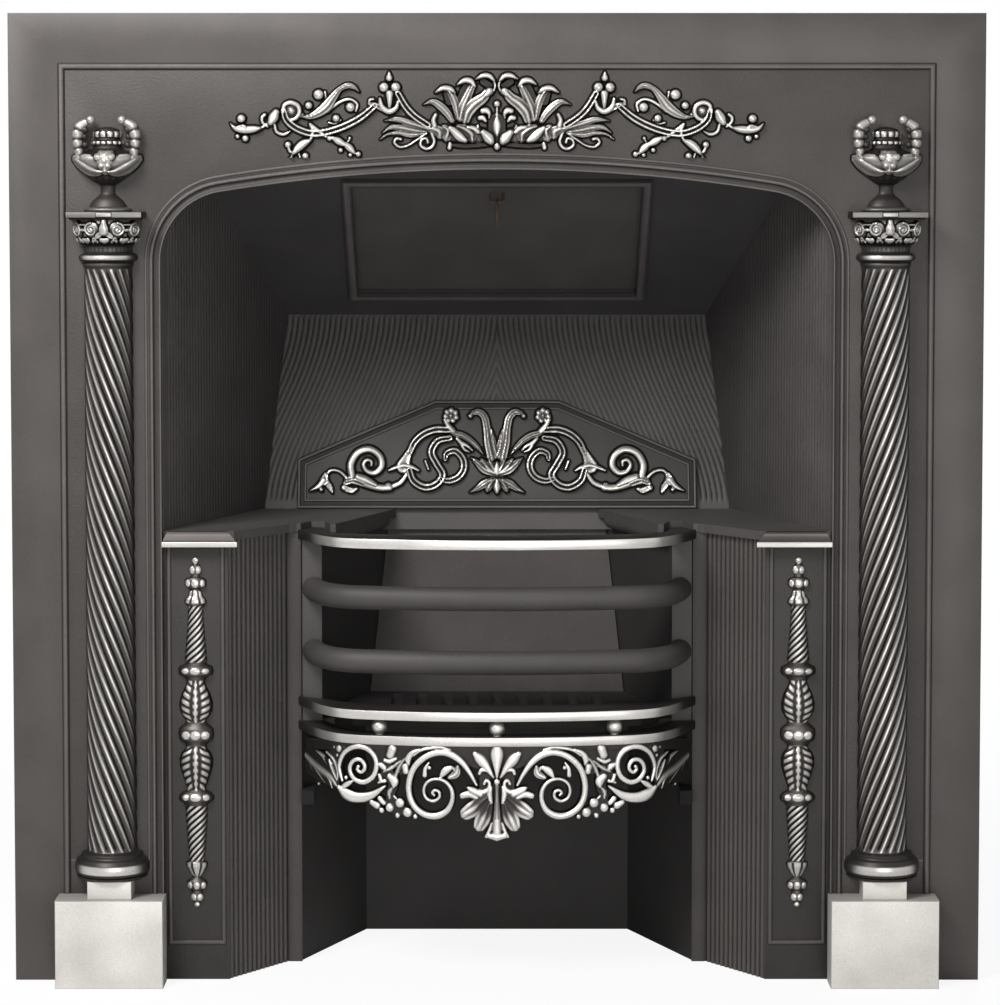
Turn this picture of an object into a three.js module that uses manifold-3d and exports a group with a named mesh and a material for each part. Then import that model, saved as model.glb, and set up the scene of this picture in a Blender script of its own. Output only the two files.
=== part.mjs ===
// A cast iron hob grate: a 965 mm square front plate round a raised fire basket.
// Millimetres, +Z up, +X to the right, +Y back into the wall. The plate's front face is Y = 0
// while the pieces are laid out, and the whole group is then centred on its floor box.

import * as THREE from "three";
import { mergeVertices } from "three/addons/utils/BufferGeometryUtils.js";
import Module from "manifold-3d";

const wasm = await Module();
wasm.setup();

// ---------------------------------------------------------------- driving dimensions

const seatGap = 0.3; // left between turned or curved pieces that touch

const plateHeight = 965;
const plateThickness = 6;
const plateMargin = 49.5; // flat border outside the bead rim
const columnStrip = 100; // from the opening's edge to the rim's outer edge
const rimWidth = 6;
const rimRelief = 3;

const openingHalf = 333; // half the width of the arched opening
const archCrown = 811; // height of the opening
const archRadius = 1712;
const archCornerRadius = 70;
const archMouldingWidth = 11;
const archMouldingRelief = 4;

const columnInset = 51.5; // from the opening's edge to the column's centre line
const blockWidth = 107;
const blockHeight = 88;
const blockDepth = 36;
const padWidth = 44;
const padHeight = 18;
const padDepth = 30;
const shaftBottomRadius = 25;
const shaftTopRadius = 24;
const baseRingRadius = 37.5;
const neckRadius = 26;
const columnTop = 736.5;
const abacusWidth = 75;
const abacusHeight = 7;
const capitalTop = 769.4;
const voluteRadius = 10;
const urnHeight = 93;
const urnBowlRadius = 36;
const urnHandleWire = 4;

const pilasterWidth = 65; // what shows of it inside the opening
const pilasterSetBack = 3;
const pilasterThickness = 9;
const pilasterLap = 12; // what lies behind the front plate
const pilasterBeadWidth = 4.5;
const pilasterBeadRelief = 2;
const pilasterBeadInset = 3.5;
const pilasterFoot = 37; // plain foot below the bead
const balusterFoot = 73.5; // height of its lowest point
const balusterFlatness = 0.55; // its depth for each mm of its half width

const returnCornerX = 214; // where the fluted return meets its flat strip
const returnCornerY = 76;
const returnStripWidth = 14;
const returnThickness = 6;
const reedCount = 12;
const reedDepth = 2.5;

const hobTop = 452;
const hobThickness = 9;
const hobBackGap = 4.5; // from the hob plate's back edge to the fireback's face
const hobLipRadius = 10;
const hobLipBack = 108.5; // half the gap between the hobs at the fireback
const hobLipSlope = 0.35; // how much the gap between the hobs widens for each mm forward
const hobLipFront = 72;
const hobOverhang = 6; // past the return under it
const notchClearance = 1.2; // round the tip of the top rail
const nosingProjection = 12;
const nosingDrop = 6;
const nosingRunOver = 5;

const cheekThickness = 6;
const cheekSlope = 0.364; // how much each cheek closes in for each mm back
const cheekCornerY = 4;

const firebackY = 236; // its face at the height of the hob tops
const firebackLean = 0.2913; // set back for each mm of height
const firebackTop = 657.4;
const firebackBottom = 430;
const firebackThickness = 7;
const firebackBackY = 296; // its face where the canopy starts
const crestThickness = 6;
const crestHalf = 214;
const crestTopHalf = 67;
const crestShoulder = 52; // height of its upright ends
const crestHeight = 114;
const crestOrnamentRelief = 5;
const friezeRelief = 7;

const canopyFoot = 658; // height of the canopy's lower edge
const canopySlope = 0.744;
const canopyThickness = 6;
const damperHalf = 159; // half the width over the beaded frame
const damperStart = 30; // from the canopy's lower edge to the frame, along the slope
const damperEnd = 242;
const damperBead = 9.5;
const damperBeadRelief = 4;
const flapThickness = 5;
const flapLap = 8; // how far the flap reaches past the throat
const hingeRise = 8; // from the canopy's back to the hinge line
const hingePinRadius = 3;
const hingeClearance = 0.4;
const knuckleRadius = 6.5;
const knuckleLength = 30;
const earThickness = 7;
const stapleAlong = 210.6; // from the canopy's lower edge to the staple, along the slope
const stapleReach = 12;
const stapleWidth = 14;
const stapleWire = 1.5;
const ringWire = 1.5;
const ringRadius = 13.5;

const endPlateOuter = 199;
const endPlateInner = 179;
const endPlateFront = 78;
const endPlateThickness = 6;
const frontBottom = 248;
const topRailTop = 446;
const topRailThickness = 10;
const barRadius = 12;
const barHeights = { upper: 385, lower: 321 };
const lowerRailTop = 273;
const lowerRailThickness = 8;
const bandTop = 247;
const bandThickness = 8;
const bandWidth = 22;
const ballRadius = 7;
const ballSpread = 117;
const apronThickness = 6;
const apronTip = 146;
const apronEnd = 179;
const scrollCentreX = 61.5;
const scrollCentreZ = 187;
const scrollHole = 9;
const sideScrollCentreX = 138;
const sideScrollCentreZ = 213;

const shelfTop = 250;
const shelfThickness = 8;
const shelfLedge = 12;
const chamberFront = 85;
const chamberHalf = 179; // half the chamber's width at its front
const chamberSlope = 0.4;
const chamberBack = 226;
const sidePlateThickness = 6;
const brickFootY = 189;
const brickThickness = 26;
const brickSetBack = 6; // the brick's top edge behind the fireback's face
const brickClearance = 2;
const grateThickness = 12;
const grateClearance = 3;
const grateSlotWidth = 12;
const grateSlotPitch = 26;
const grateSlots = 9;

const ashCheekFront = 200;
const ashCheekBack = 140;
const ashBackY = 217;
const ashThickness = 6;
const frontLugWidth = 12.6;
const frontLugHeight = 14;

const wallLugInset = 27.5; // from the plate's side edge to the lug
const wallLugHeights = { low: 230, high: 790 };
const wallLugDepth = 30;
const wallLugWidth = 36;
const wallLugThickness = 4;
const wallLugHole = 4.5;
const nutFlats = 13;
const nutThickness = 7;
const studRadius = 3.5;
const studReach = 4;
const shaftStudHeight = 150; // of the stud at the shaft's foot
const capitalStudDrop = 36.5; // from the column's top to the stud near it

// ---------------------------------------------------------------- worked-out sizes

const halfWidth = openingHalf + columnStrip + plateMargin; // 482.5: the plate is 965 mm wide
const rimHalf = halfWidth - plateMargin;
const rimTop = plateHeight - plateMargin;
const mouldingFoot = blockHeight + seatGap;
const columnX = openingHalf + columnInset;
const balusterCentre = openingHalf - pilasterWidth / 2;
const wallLugX = halfWidth - wallLugInset;
const archCentreZ = archCrown - archRadius;
const cornerCentreX = openingHalf - archCornerRadius;
const springZ = archCentreZ + Math.sqrt((archRadius - archCornerRadius) ** 2 - cornerCentreX ** 2);
const padTop = blockHeight + padHeight;
const urnFoot = capitalTop + seatGap;
const pilasterInner = openingHalf - pilasterWidth;
const hobBottom = hobTop - hobThickness;
const returnStripInner = returnCornerX - returnStripWidth;
const hobBack = firebackY - hobBackGap;
const ashSlope = (ashCheekFront - ashCheekBack) / (ashBackY - returnCornerY - returnThickness);
const cheekOffset = cheekThickness * Math.hypot(1, cheekSlope);
const balusterFace = pilasterSetBack;
const canopyTurn = Math.PI - Math.atan(canopySlope);
const canopyLength = (firebackBackY - plateThickness - seatGap) * Math.hypot(1, canopySlope);
const railBottom = topRailTop - topRailThickness;
const sidePlateTop = hobTop - 2 * hobLipRadius - seatGap;
const frontReach = -Math.max(blockDepth, baseRingRadius, abacusWidth / 2);

const cheekX = (y) => openingHalf - cheekSlope * (y - cheekCornerY);
const firebackFace = (z) => firebackY + (z - hobTop) * firebackLean;
const hobLipX = (y) => hobLipBack + hobLipSlope * (hobBack - y);
const chamberX = (y) => chamberHalf - chamberSlope * (y - chamberFront);
const ashX = (y) => ashCheekFront - ashSlope * (y - returnCornerY - returnThickness);
const canopyZ = (y) => canopyFoot + canopySlope * (firebackBackY - y);
const backReach = firebackFace(firebackTop) + firebackThickness;

// ---------------------------------------------------------------- finishes

function iron(color, roughness, metalness) {
  return new THREE.MeshStandardMaterial({ color, roughness, metalness });
}
const blackIron = iron(0x5a5554, 0.62, 0.35);
const innerIron = iron(0x3a3736, 0.68, 0.3);
const brushedIron = iron(0xdedcd8, 0.34, 0.9);
const burnishedIron = iron(0xa8a5a0, 0.36, 0.85);
const rustyWire = iron(0x5b4238, 0.8, 0.3);

// ---------------------------------------------------------------- solids

const grate = new THREE.Group();

/** A manifold solid from any closed geometry. */
function solid(geometry) {
  const plain = geometry.clone();
  plain.deleteAttribute("normal");
  plain.deleteAttribute("uv");
  const merged = mergeVertices(plain, 1e-4);
  const triVerts = [];
  const { array } = merged.index;
  for (let i = 0; i < array.length; i += 3) {
    const [a, b, c] = [array[i], array[i + 1], array[i + 2]];
    if (a !== b && b !== c && c !== a) triVerts.push(a, b, c);
  }
  return new wasm.Manifold(
    new wasm.Mesh({
      numProp: 3,
      vertProperties: Float32Array.from(merged.attributes.position.array),
      triVerts: Uint32Array.from(triVerts),
    }),
  );
}

/** The geometry of a manifold solid. */
function geometryOf(manifold) {
  const mesh = manifold.getMesh();
  const geometry = new THREE.BufferGeometry();
  geometry.setAttribute("position", new THREE.BufferAttribute(mesh.vertProperties, 3));
  geometry.setIndex(new THREE.BufferAttribute(mesh.triVerts, 1));
  geometry.computeVertexNormals();
  return geometry;
}

/** Joins closed geometries into one. */
function joined(...geometries) {
  return geometryOf(geometries.map(solid).reduce((all, next) => all.add(next)));
}

/** Cuts closed geometries from the first one. */
function cut(body, ...tools) {
  return geometryOf(tools.map(solid).reduce((left, tool) => left.subtract(tool), solid(body)));
}

/** What two closed geometries share. */
function shared(one, other) {
  return geometryOf(solid(one).intersect(solid(other)));
}

function add(name, geometry, material, parent = grate) {
  const mesh = new THREE.Mesh(geometry, material);
  mesh.name = name;
  parent.add(mesh);
  return mesh;
}

const toPoints = (points) => points.map(([x, y]) => new THREE.Vector2(x, y));
const mirrored = (points) => points.map(([x, y]) => [-x, y]);
const bothHalves = (points) => [...points, ...mirrored(points.filter(([x]) => x !== 0)).reverse()];
const sided = (points, side) => points.map(([x, y]) => [side * x, y]);

/** A shape whose outline runs anticlockwise and whose holes run clockwise. */
function shapeOf(points, holes = []) {
  const wound = (list, hand) => {
    const corners = toPoints(list);
    return THREE.ShapeUtils.area(corners) * hand < 0 ? corners.reverse() : corners;
  };
  const shape = new THREE.Shape(wound(points, 1));
  for (const hole of holes) shape.holes.push(new THREE.Path(wound(hole, -1)));
  return shape;
}

function extruded(shape, depth, curveSegments = 12) {
  return new THREE.ExtrudeGeometry(shape, { depth, bevelEnabled: false, curveSegments });
}

/** A slab drawn in plan (x, y), from height z0 up to z1. */
function planSlab(points, z0, z1, holes = []) {
  return extruded(shapeOf(points, holes), z1 - z0).translate(0, 0, z0);
}

/** A slab drawn from the front (x, z), from yBack forward by its depth. */
function frontSlab(shape, yBack, depth, curveSegments = 12) {
  return extruded(shape, depth, curveSegments).rotateX(Math.PI / 2).translate(0, yBack, 0);
}

/** A slab drawn from the side (y, z), from x0 to x1. */
function sideSlab(points, x0, x1, holes = []) {
  const upright = new THREE.Matrix4().makeBasis(
    new THREE.Vector3(0, 1, 0),
    new THREE.Vector3(0, 0, 1),
    new THREE.Vector3(1, 0, 0),
  );
  return extruded(shapeOf(points, holes), x1 - x0).applyMatrix4(upright).translate(x0, 0, 0);
}

/** Moves each corner of a geometry by a rule. */
function bent(geometry, rule) {
  const position = geometry.attributes.position;
  const corner = new THREE.Vector3();
  for (let i = 0; i < position.count; i += 1) {
    corner.fromBufferAttribute(position, i);
    rule(corner);
    position.setXYZ(i, corner.x, corner.y, corner.z);
  }
  return geometry;
}

/** Leans a slab back as the fireback leans. */
const leant = (geometry) =>
  bent(geometry, (corner) => {
    corner.y += (corner.z - hobTop) * firebackLean;
  });

/** An upright plate drawn from the side (y, z), whose inner face lies at X = inner(y). */
function standing(profile, side, thickness, inner) {
  const slab = side > 0 ? sideSlab(profile, 0, thickness) : sideSlab(profile, -thickness, 0);
  return bent(slab, (corner) => {
    corner.x += side * inner(corner.y);
  });
}

/** A solid of revolution about +Z from [radius, height] pairs. */
function turned(profile, segments) {
  return new THREE.LatheGeometry(toPoints(profile), segments).rotateX(Math.PI / 2);
}

function box(x0, x1, y0, y1, z0, z1) {
  return new THREE.BoxGeometry(x1 - x0, y1 - y0, z1 - z0).translate(
    (x0 + x1) / 2,
    (y0 + y1) / 2,
    (z0 + z1) / 2,
  );
}

/** What is left of a turned piece in front of a plane Y = face. */
function frontHalf(geometry, face) {
  const reach = 200;
  return shared(geometry, box(-reach, reach, face - reach, face, -reach, plateHeight + reach));
}

function tube(curve, radius, steps, sides) {
  const section = new THREE.Shape();
  section.absarc(0, 0, radius, 0, 2 * Math.PI);
  return new THREE.ExtrudeGeometry(section, {
    steps,
    curveSegments: sides / 2,
    bevelEnabled: false,
    extrudePath: curve,
  });
}

function circle(x, y, radius, count) {
  return Array.from({ length: count }, (_, i) => {
    const turn = (2 * Math.PI * i) / count;
    return [x + radius * Math.cos(turn), y + radius * Math.sin(turn)];
  });
}

/** Evenly spaced points on a smooth curve through the given ones. */
function smooth(points, count) {
  const curve = new THREE.SplineCurve(toPoints(points));
  return curve.getSpacedPoints(count).map((p) => [p.x, p.y]);
}

const sides = { left: -1, right: 1 };

// ---------------------------------------------------------------- front plate

/** The arched opening, or the same line a set distance outside it, from foot to foot. */
function archLine(offset, foot) {
  const path = new THREE.Path();
  const half = openingHalf + offset;
  const corner = archCornerRadius + offset;
  const big = archRadius + offset;
  const meet = Math.atan2(springZ - archCentreZ, cornerCentreX);
  path.moveTo(half, foot);
  path.lineTo(half, springZ);
  path.absarc(cornerCentreX, springZ, corner, 0, meet, false);
  path.absarc(0, archCentreZ, big, meet, Math.PI - meet, false);
  path.absarc(-cornerCentreX, springZ, corner, Math.PI - meet, Math.PI, false);
  path.lineTo(-half, foot);
  return path.getPoints(8).map((p) => [p.x, p.y]);
}

function frontPlate() {
  const outline = [
    [-halfWidth, 0],
    [-halfWidth, plateHeight],
    [halfWidth, plateHeight],
    [halfWidth, 0],
    ...archLine(0, 0),
  ];
  const embed = plateThickness / 2;
  const plate = frontSlab(shapeOf(outline), plateThickness, plateThickness);
  const moulding = frontSlab(
    shapeOf([...archLine(archMouldingWidth, mouldingFoot), ...archLine(0, mouldingFoot).reverse()]),
    embed,
    archMouldingRelief + embed,
  );
  const inner = rimHalf - rimWidth;
  const rim = frontSlab(
    shapeOf([
      [-rimHalf, mouldingFoot],
      [-rimHalf, rimTop],
      [rimHalf, rimTop],
      [rimHalf, mouldingFoot],
      [inner, mouldingFoot],
      [inner, rimTop - rimWidth],
      [-inner, rimTop - rimWidth],
      [-inner, mouldingFoot],
    ]),
    embed,
    rimRelief + embed,
  );
  return joined(plate, moulding, rim);
}
add("front_plate", frontPlate(), blackIron);

// ---------------------------------------------------------------- columns

function plinthBlock(x) {
  const halfBlock = blockWidth / 2;
  const halfPad = padWidth / 2;
  return joined(
    box(x - halfBlock, x + halfBlock, -blockDepth, 0, 0, blockHeight),
    box(x - halfPad, x + halfPad, -padDepth, 0, blockHeight - 1, padTop),
  );
}

function column() {
  const foot = padTop + seatGap;
  const astragalFoot = columnTop - 16;
  const astragalTop = columnTop - 8;
  const profile = [
    [0, foot],
    [30, foot],
    [34, foot + 3],
    [baseRingRadius, foot + 8],
    [baseRingRadius, foot + 15],
    [33, foot + 20],
    [28, foot + 25],
    [shaftBottomRadius, foot + 32],
    [shaftTopRadius, astragalFoot],
    [29, astragalFoot + 2],
    [29, astragalTop - 2],
    [neckRadius, astragalTop],
    [neckRadius, columnTop],
    [0, columnTop],
  ];
  return frontHalf(turned(profile, 20), 0);
}

function capital() {
  const foot = columnTop + seatGap;
  const abacusFoot = capitalTop - abacusHeight;
  const halfAbacus = abacusWidth / 2;
  const bell = turned(
    [
      [0, foot],
      [neckRadius, foot],
      [neckRadius + 3, foot + 10],
      [neckRadius + 9, abacusFoot + 1],
      [0, abacusFoot + 1],
    ],
    20,
  );
  const volutes = [-1, 1].map((hand) =>
    new THREE.CylinderGeometry(voluteRadius, voluteRadius, neckRadius, 14).translate(
      hand * (halfAbacus - voluteRadius),
      -neckRadius / 2,
      abacusFoot - voluteRadius,
    ),
  );
  const abacus = box(-halfAbacus, halfAbacus, -halfAbacus, 0, abacusFoot, capitalTop);
  return joined(frontHalf(bell, 0), abacus, ...volutes);
}

function urn() {
  const top = urnFoot + urnHeight;
  const bowl = [
    [0, urnFoot],
    [27, urnFoot],
    [27, urnFoot + 4],
    [14, urnFoot + 12],
    [7, urnFoot + 18],
    [7, urnFoot + 25],
    [22, urnFoot + 30],
    [urnBowlRadius, urnFoot + 44],
    [urnBowlRadius - 5, urnFoot + 54],
    [15, urnFoot + 60],
    [13, urnFoot + 68],
    [15, urnFoot + 80],
    [12, urnFoot + 84],
    [0, urnFoot + 84],
  ];
  const handles = [-1, 1].map((hand) =>
    tube(
      new THREE.CatmullRomCurve3([
        new THREE.Vector3(hand * 27, -10, urnFoot + 50),
        new THREE.Vector3(hand * 33, -10, urnFoot + 64),
        new THREE.Vector3(hand * 28, -10, urnFoot + 78),
        new THREE.Vector3(hand * 22, -10, top - urnHandleWire - 2),
        new THREE.Vector3(hand * 16, -10, urnFoot + 80),
        new THREE.Vector3(hand * 10, -10, urnFoot + 74),
      ]),
      urnHandleWire,
      12,
      8,
    ),
  );
  return joined(frontHalf(turned(bowl, 20), 0), ...handles);
}

for (const [name, side] of Object.entries(sides)) {
  const x = side * columnX;
  add(`${name}_plinth_block`, plinthBlock(x), brushedIron);
  add(`${name}_column`, column(), burnishedIron).position.x = x;
  add(`${name}_capital`, capital(), burnishedIron).position.x = x;
  add(`${name}_urn`, urn(), burnishedIron).position.x = x;
}

// ---------------------------------------------------------------- frieze and crest ornaments

// Half of each outline, from the centre line outwards over the top and back below. The crest's
// heights are measured from the hob tops.
const friezeHalf = [
  [0, 886], [8, 890], [14, 902], [30, 906], [52, 898], [64, 884], [72, 872], [84, 880],
  [92, 898], [106, 906], [116, 890], [128, 872], [146, 866], [150, 888], [168, 898],
  [184, 878], [196, 884], [212, 876], [222, 866], [240, 866], [264, 858], [262, 850],
  [242, 842], [222, 850], [204, 842], [198, 818], [184, 834], [170, 840], [150, 820],
  [132, 830], [140, 842], [120, 852], [104, 846], [84, 836], [60, 838], [30, 836], [0, 832],
];
const crestHalfOutline = [
  [0, 96], [16, 114], [22, 110], [18, 88], [34, 96], [46, 108], [56, 98], [50, 76], [66, 88],
  [88, 84], [96, 60], [106, 46], [116, 56], [130, 80], [148, 68], [146, 48], [160, 50],
  [178, 44], [186, 34], [178, 28], [160, 32], [140, 36], [118, 32], [104, 32], [84, 48],
  [70, 40], [48, 44], [28, 40], [14, 24], [0, 22],
];

add(
  "frieze_ornament",
  frontSlab(shapeOf(bothHalves(friezeHalf)), 0, friezeRelief),
  burnishedIron,
);

// ---------------------------------------------------------------- pilasters and balusters

function pilasterPanel(side) {
  const face = pilasterSetBack;
  const back = face + pilasterThickness;
  const outer = openingHalf - seatGap;
  const plan = [
    [openingHalf + pilasterLap, plateThickness + seatGap],
    [outer, plateThickness + seatGap],
    [outer, face],
    [pilasterInner, face],
    [pilasterInner, back],
    [openingHalf + pilasterLap, back],
  ];
  const beadOuter = outer - pilasterBeadInset;
  const beadInner = pilasterInner + pilasterBeadInset;
  const top = hobBottom - nosingDrop - pilasterBeadInset;
  const frame = (inset) => [
    [beadInner + inset, pilasterFoot + inset],
    [beadOuter - inset, pilasterFoot + inset],
    [beadOuter - inset, top - inset],
    [beadInner + inset, top - inset],
  ];
  const bead = frontSlab(
    shapeOf(sided(frame(0), side), [sided(frame(pilasterBeadWidth), side)]),
    face + 1,
    pilasterBeadRelief + 1,
  );
  return joined(planSlab(sided(plan, side), 0, hobBottom), bead);
}

function baluster() {
  const profile = [
    [0, 0], [5, 2], [5, 9], [9, 12], [9, 18], [5, 20], [11, 22], [11, 30], [5, 33], [8, 48],
    [10.5, 102], [18, 106], [18, 114], [6, 122], [17, 152], [17, 166], [17.5, 172],
    [17.5, 184], [8, 190], [17.5, 208], [8, 234], [18, 240], [18, 248], [11, 254], [8, 306],
    [5, 324], [11, 328], [11, 338], [9, 340], [9, 346], [5, 348], [5, 352], [0, 353.5],
  ].map(([radius, height]) => [radius, balusterFoot + height]);
  const flat = turned(profile, 12).scale(1, balusterFlatness, 1).translate(0, balusterFace, 0);
  return frontHalf(flat, balusterFace);
}

for (const [name, side] of Object.entries(sides)) {
  add(`${name}_pilaster_panel`, pilasterPanel(side), blackIron);
  add(`${name}_baluster`, baluster(), burnishedIron).position.x = side * balusterCentre;
}

// ---------------------------------------------------------------- fluted returns

/** Plan points of a reeded face from one point to another, with the reeds on its front. */
function reededLine(start, end, count, depth) {
  const along = [end[0] - start[0], end[1] - start[1]];
  const length = Math.hypot(...along);
  const out = [-along[1] / length, along[0] / length];
  const points = [];
  for (let reed = 0; reed < count; reed += 1) {
    for (const [share, rise] of [[0, 0], [0.25, 0.75], [0.5, 1], [0.75, 0.75]]) {
      const t = (reed + share) / count;
      points.push([
        start[0] + along[0] * t + out[0] * rise * depth,
        start[1] + along[1] * t + out[1] * rise * depth,
      ]);
    }
  }
  points.push(end);
  return points;
}

function flutedReturn(side) {
  const start = [pilasterInner - seatGap, pilasterSetBack + reedDepth];
  const corner = [returnCornerX, returnCornerY];
  const back = returnThickness;
  const plan = [
    ...reededLine(start, corner, reedCount, reedDepth),
    [returnStripInner, returnCornerY],
    [returnStripInner, returnCornerY + back],
    [returnCornerX + back / 2, returnCornerY + back],
    [start[0], start[1] + 1.6 * back],
  ];
  return planSlab(sided(plan, side), 0, hobBottom);
}

// ---------------------------------------------------------------- hobs

// The tip of the top rail in plan, from its outer corner round its end to its inner corner.
const railTip = [
  [203, 75],
  [199, 75.6],
  [190, 100],
  [178, 96],
  [171, 56],
];

function hobPlate(side) {
  const outer = (y) => cheekX(y) + cheekOffset;
  const behind = plateThickness + seatGap;
  const notch = [
    [railTip[0][0] + notchClearance, railTip[0][1] + notchClearance / 2],
    [railTip[1][0] + notchClearance, railTip[1][1] + notchClearance],
    [railTip[2][0] + notchClearance, railTip[2][1] + notchClearance],
    [railTip[3][0] - notchClearance, railTip[3][1] + notchClearance],
    [railTip[4][0] - notchClearance, hobLipFront],
  ];
  const plan = [
    [openingHalf - 2 * seatGap, pilasterSetBack],
    [pilasterInner - hobOverhang, pilasterSetBack],
    [returnCornerX - hobOverhang / 2, returnCornerY - hobOverhang],
    ...notch,
    [hobLipX(hobLipFront), hobLipFront],
    [hobLipX(hobBack), hobBack],
    [outer(hobBack), hobBack],
    [outer(behind), behind],
    [openingHalf - 2 * seatGap, behind],
  ];
  const plate = planSlab(sided(plan, side), hobBottom, hobTop);
  const stretch = Math.hypot(1, hobLipSlope);
  const lipLength = (hobBack - hobLipFront) * stretch - 2 * hobLipRadius * (1 + hobLipSlope);
  const middle = (hobBack + hobLipFront) / 2;
  const lip = new THREE.CylinderGeometry(hobLipRadius, hobLipRadius, lipLength, 16)
    .rotateZ(side * Math.atan(hobLipSlope))
    .translate(
      side * (hobLipX(middle) + hobLipRadius * stretch),
      middle,
      hobTop - hobLipRadius,
    );
  const front = hobLipFront - 2 * hobLipRadius;
  const railRoom = planSlab(
    sided([[notch[0][0], front], ...notch, [notch[4][0], front]], side),
    sidePlateTop,
    hobTop + 1,
  );
  return joined(plate, cut(lip, railRoom));
}

function hobNosing(side) {
  const face = pilasterSetBack;
  const profile = [
    [face, hobBottom - nosingDrop],
    [face - 3, hobBottom - nosingDrop],
    [face - 6, hobBottom],
    [face - nosingProjection, hobBottom + 3],
    [face - nosingProjection, hobTop - 1],
    [face - nosingProjection + 1, hobTop],
    [face, hobTop],
  ];
  const outer = side * (openingHalf - seatGap);
  const inner = side * (pilasterInner - nosingRunOver);
  return sideSlab(profile, Math.min(outer, inner), Math.max(outer, inner));
}

function upperCheek(side) {
  const front = plateThickness + seatGap;
  const clear = seatGap * 1.4;
  const backFoot = firebackFace(hobTop) - clear;
  const backTop = firebackFace(firebackTop) - clear;
  const profile = [
    [front, hobTop],
    [backFoot, hobTop],
    [backTop, canopyZ(backTop) - clear],
    [front, canopyZ(front) - clear],
  ];
  return standing(profile, side, cheekOffset, cheekX);
}

for (const [name, side] of Object.entries(sides)) {
  add(`${name}_fluted_return`, flutedReturn(side), blackIron);
  add(`${name}_hob_plate`, hobPlate(side), blackIron);
  add(`${name}_hob_nosing`, hobNosing(side), brushedIron);
  add(`${name}_upper_cheek`, upperCheek(side), innerIron);
}

// ---------------------------------------------------------------- fireback and crest

function reededFireback() {
  const half = (z) => cheekX(firebackFace(z)) + cheekOffset;
  const outline = [
    [-half(firebackBottom), firebackBottom],
    [half(firebackBottom), firebackBottom],
    [half(firebackTop), firebackTop],
    [-half(firebackTop), firebackTop],
  ];
  return leant(frontSlab(shapeOf(outline), firebackY + firebackThickness, firebackThickness));
}

const crestFoot = hobTop + seatGap;
const crestBack = firebackY - seatGap;

function crestPanel() {
  const outline = bothHalves([
    [crestHalf, crestFoot],
    [crestHalf, crestFoot + crestShoulder],
    [crestTopHalf, crestFoot + crestHeight],
  ]);
  return leant(frontSlab(shapeOf(outline), crestBack, crestThickness));
}

add("reeded_fireback", reededFireback(), blackIron);
add("crest_panel", crestPanel(), blackIron);
add(
  "crest_ornament",
  leant(
    frontSlab(
      shapeOf(bothHalves(crestHalfOutline.map(([x, rise]) => [x, hobTop + rise]))),
      crestBack - crestThickness - seatGap,
      crestOrnamentRelief,
    ),
  ),
  burnishedIron,
);

// ---------------------------------------------------------------- canopy and damper

// In this group X is across, Y runs up the slope from the canopy's lower edge, and Z points
// down and forward out of the canopy's face.
const canopy = new THREE.Group();
canopy.position.set(0, firebackBackY, canopyFoot);
canopy.rotation.x = canopyTurn;
grate.add(canopy);

const throatHalf = damperHalf - damperBead;
const throatStart = damperStart + damperBead;
const throatEnd = damperEnd - damperBead;
const hingeAlong = throatStart - flapLap - knuckleRadius;
const hingeDepth = -canopyThickness - hingeRise;
const flapFace = -canopyThickness - 0.4;
const earX = throatHalf + flapLap + 4;

const rectangle = (half, start, end) => [
  [-half, start],
  [half, start],
  [half, end],
  [-half, end],
];

function ear(side) {
  const reach = knuckleRadius + 2;
  const outline = [
    [hingeAlong - reach, -canopyThickness + 1],
    [hingeAlong + reach, -canopyThickness + 1],
    [hingeAlong + reach, hingeDepth],
    [hingeAlong, hingeDepth - reach],
    [hingeAlong - reach, hingeDepth],
  ];
  const bore = circle(hingeAlong, hingeDepth, hingePinRadius + hingeClearance, 16);
  const start = side > 0 ? earX : -earX - earThickness;
  return sideSlab(outline, start, start + earThickness, [bore]);
}

function canopyPlate() {
  const half = (along) => cheekX(firebackBackY - along / Math.hypot(1, canopySlope)) + cheekOffset;
  const outline = bothHalves([
    [half(0), 0],
    [half(canopyLength), canopyLength],
  ]);
  const throat = rectangle(throatHalf, throatStart, throatEnd);
  const plate = planSlab(outline, -canopyThickness, 0, [throat]);
  const bead = planSlab(rectangle(damperHalf, damperStart, damperEnd), -1, damperBeadRelief, [
    throat,
  ]);
  return joined(plate, bead, ear(-1), ear(1));
}

/** A rod along X about the hinge line. */
function hingeRod(radius, x0, x1, sidesCount) {
  return new THREE.CylinderGeometry(radius, radius, x1 - x0, sidesCount)
    .rotateZ(Math.PI / 2)
    .translate((x0 + x1) / 2, hingeAlong, hingeDepth);
}

function damperFlap() {
  const half = throatHalf + flapLap - 1;
  const plate = planSlab(
    rectangle(half, hingeAlong, throatEnd + flapLap),
    flapFace - flapThickness,
    flapFace,
  );
  const knuckles = [-1, 1].map((side) => {
    const start = side > 0 ? half - knuckleLength : -half;
    return hingeRod(knuckleRadius, start, start + knuckleLength, 16);
  });
  const bore = hingeRod(hingePinRadius + hingeClearance, -half - 1, half + 1, 16);
  return cut(joined(plate, ...knuckles), bore);
}

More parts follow.
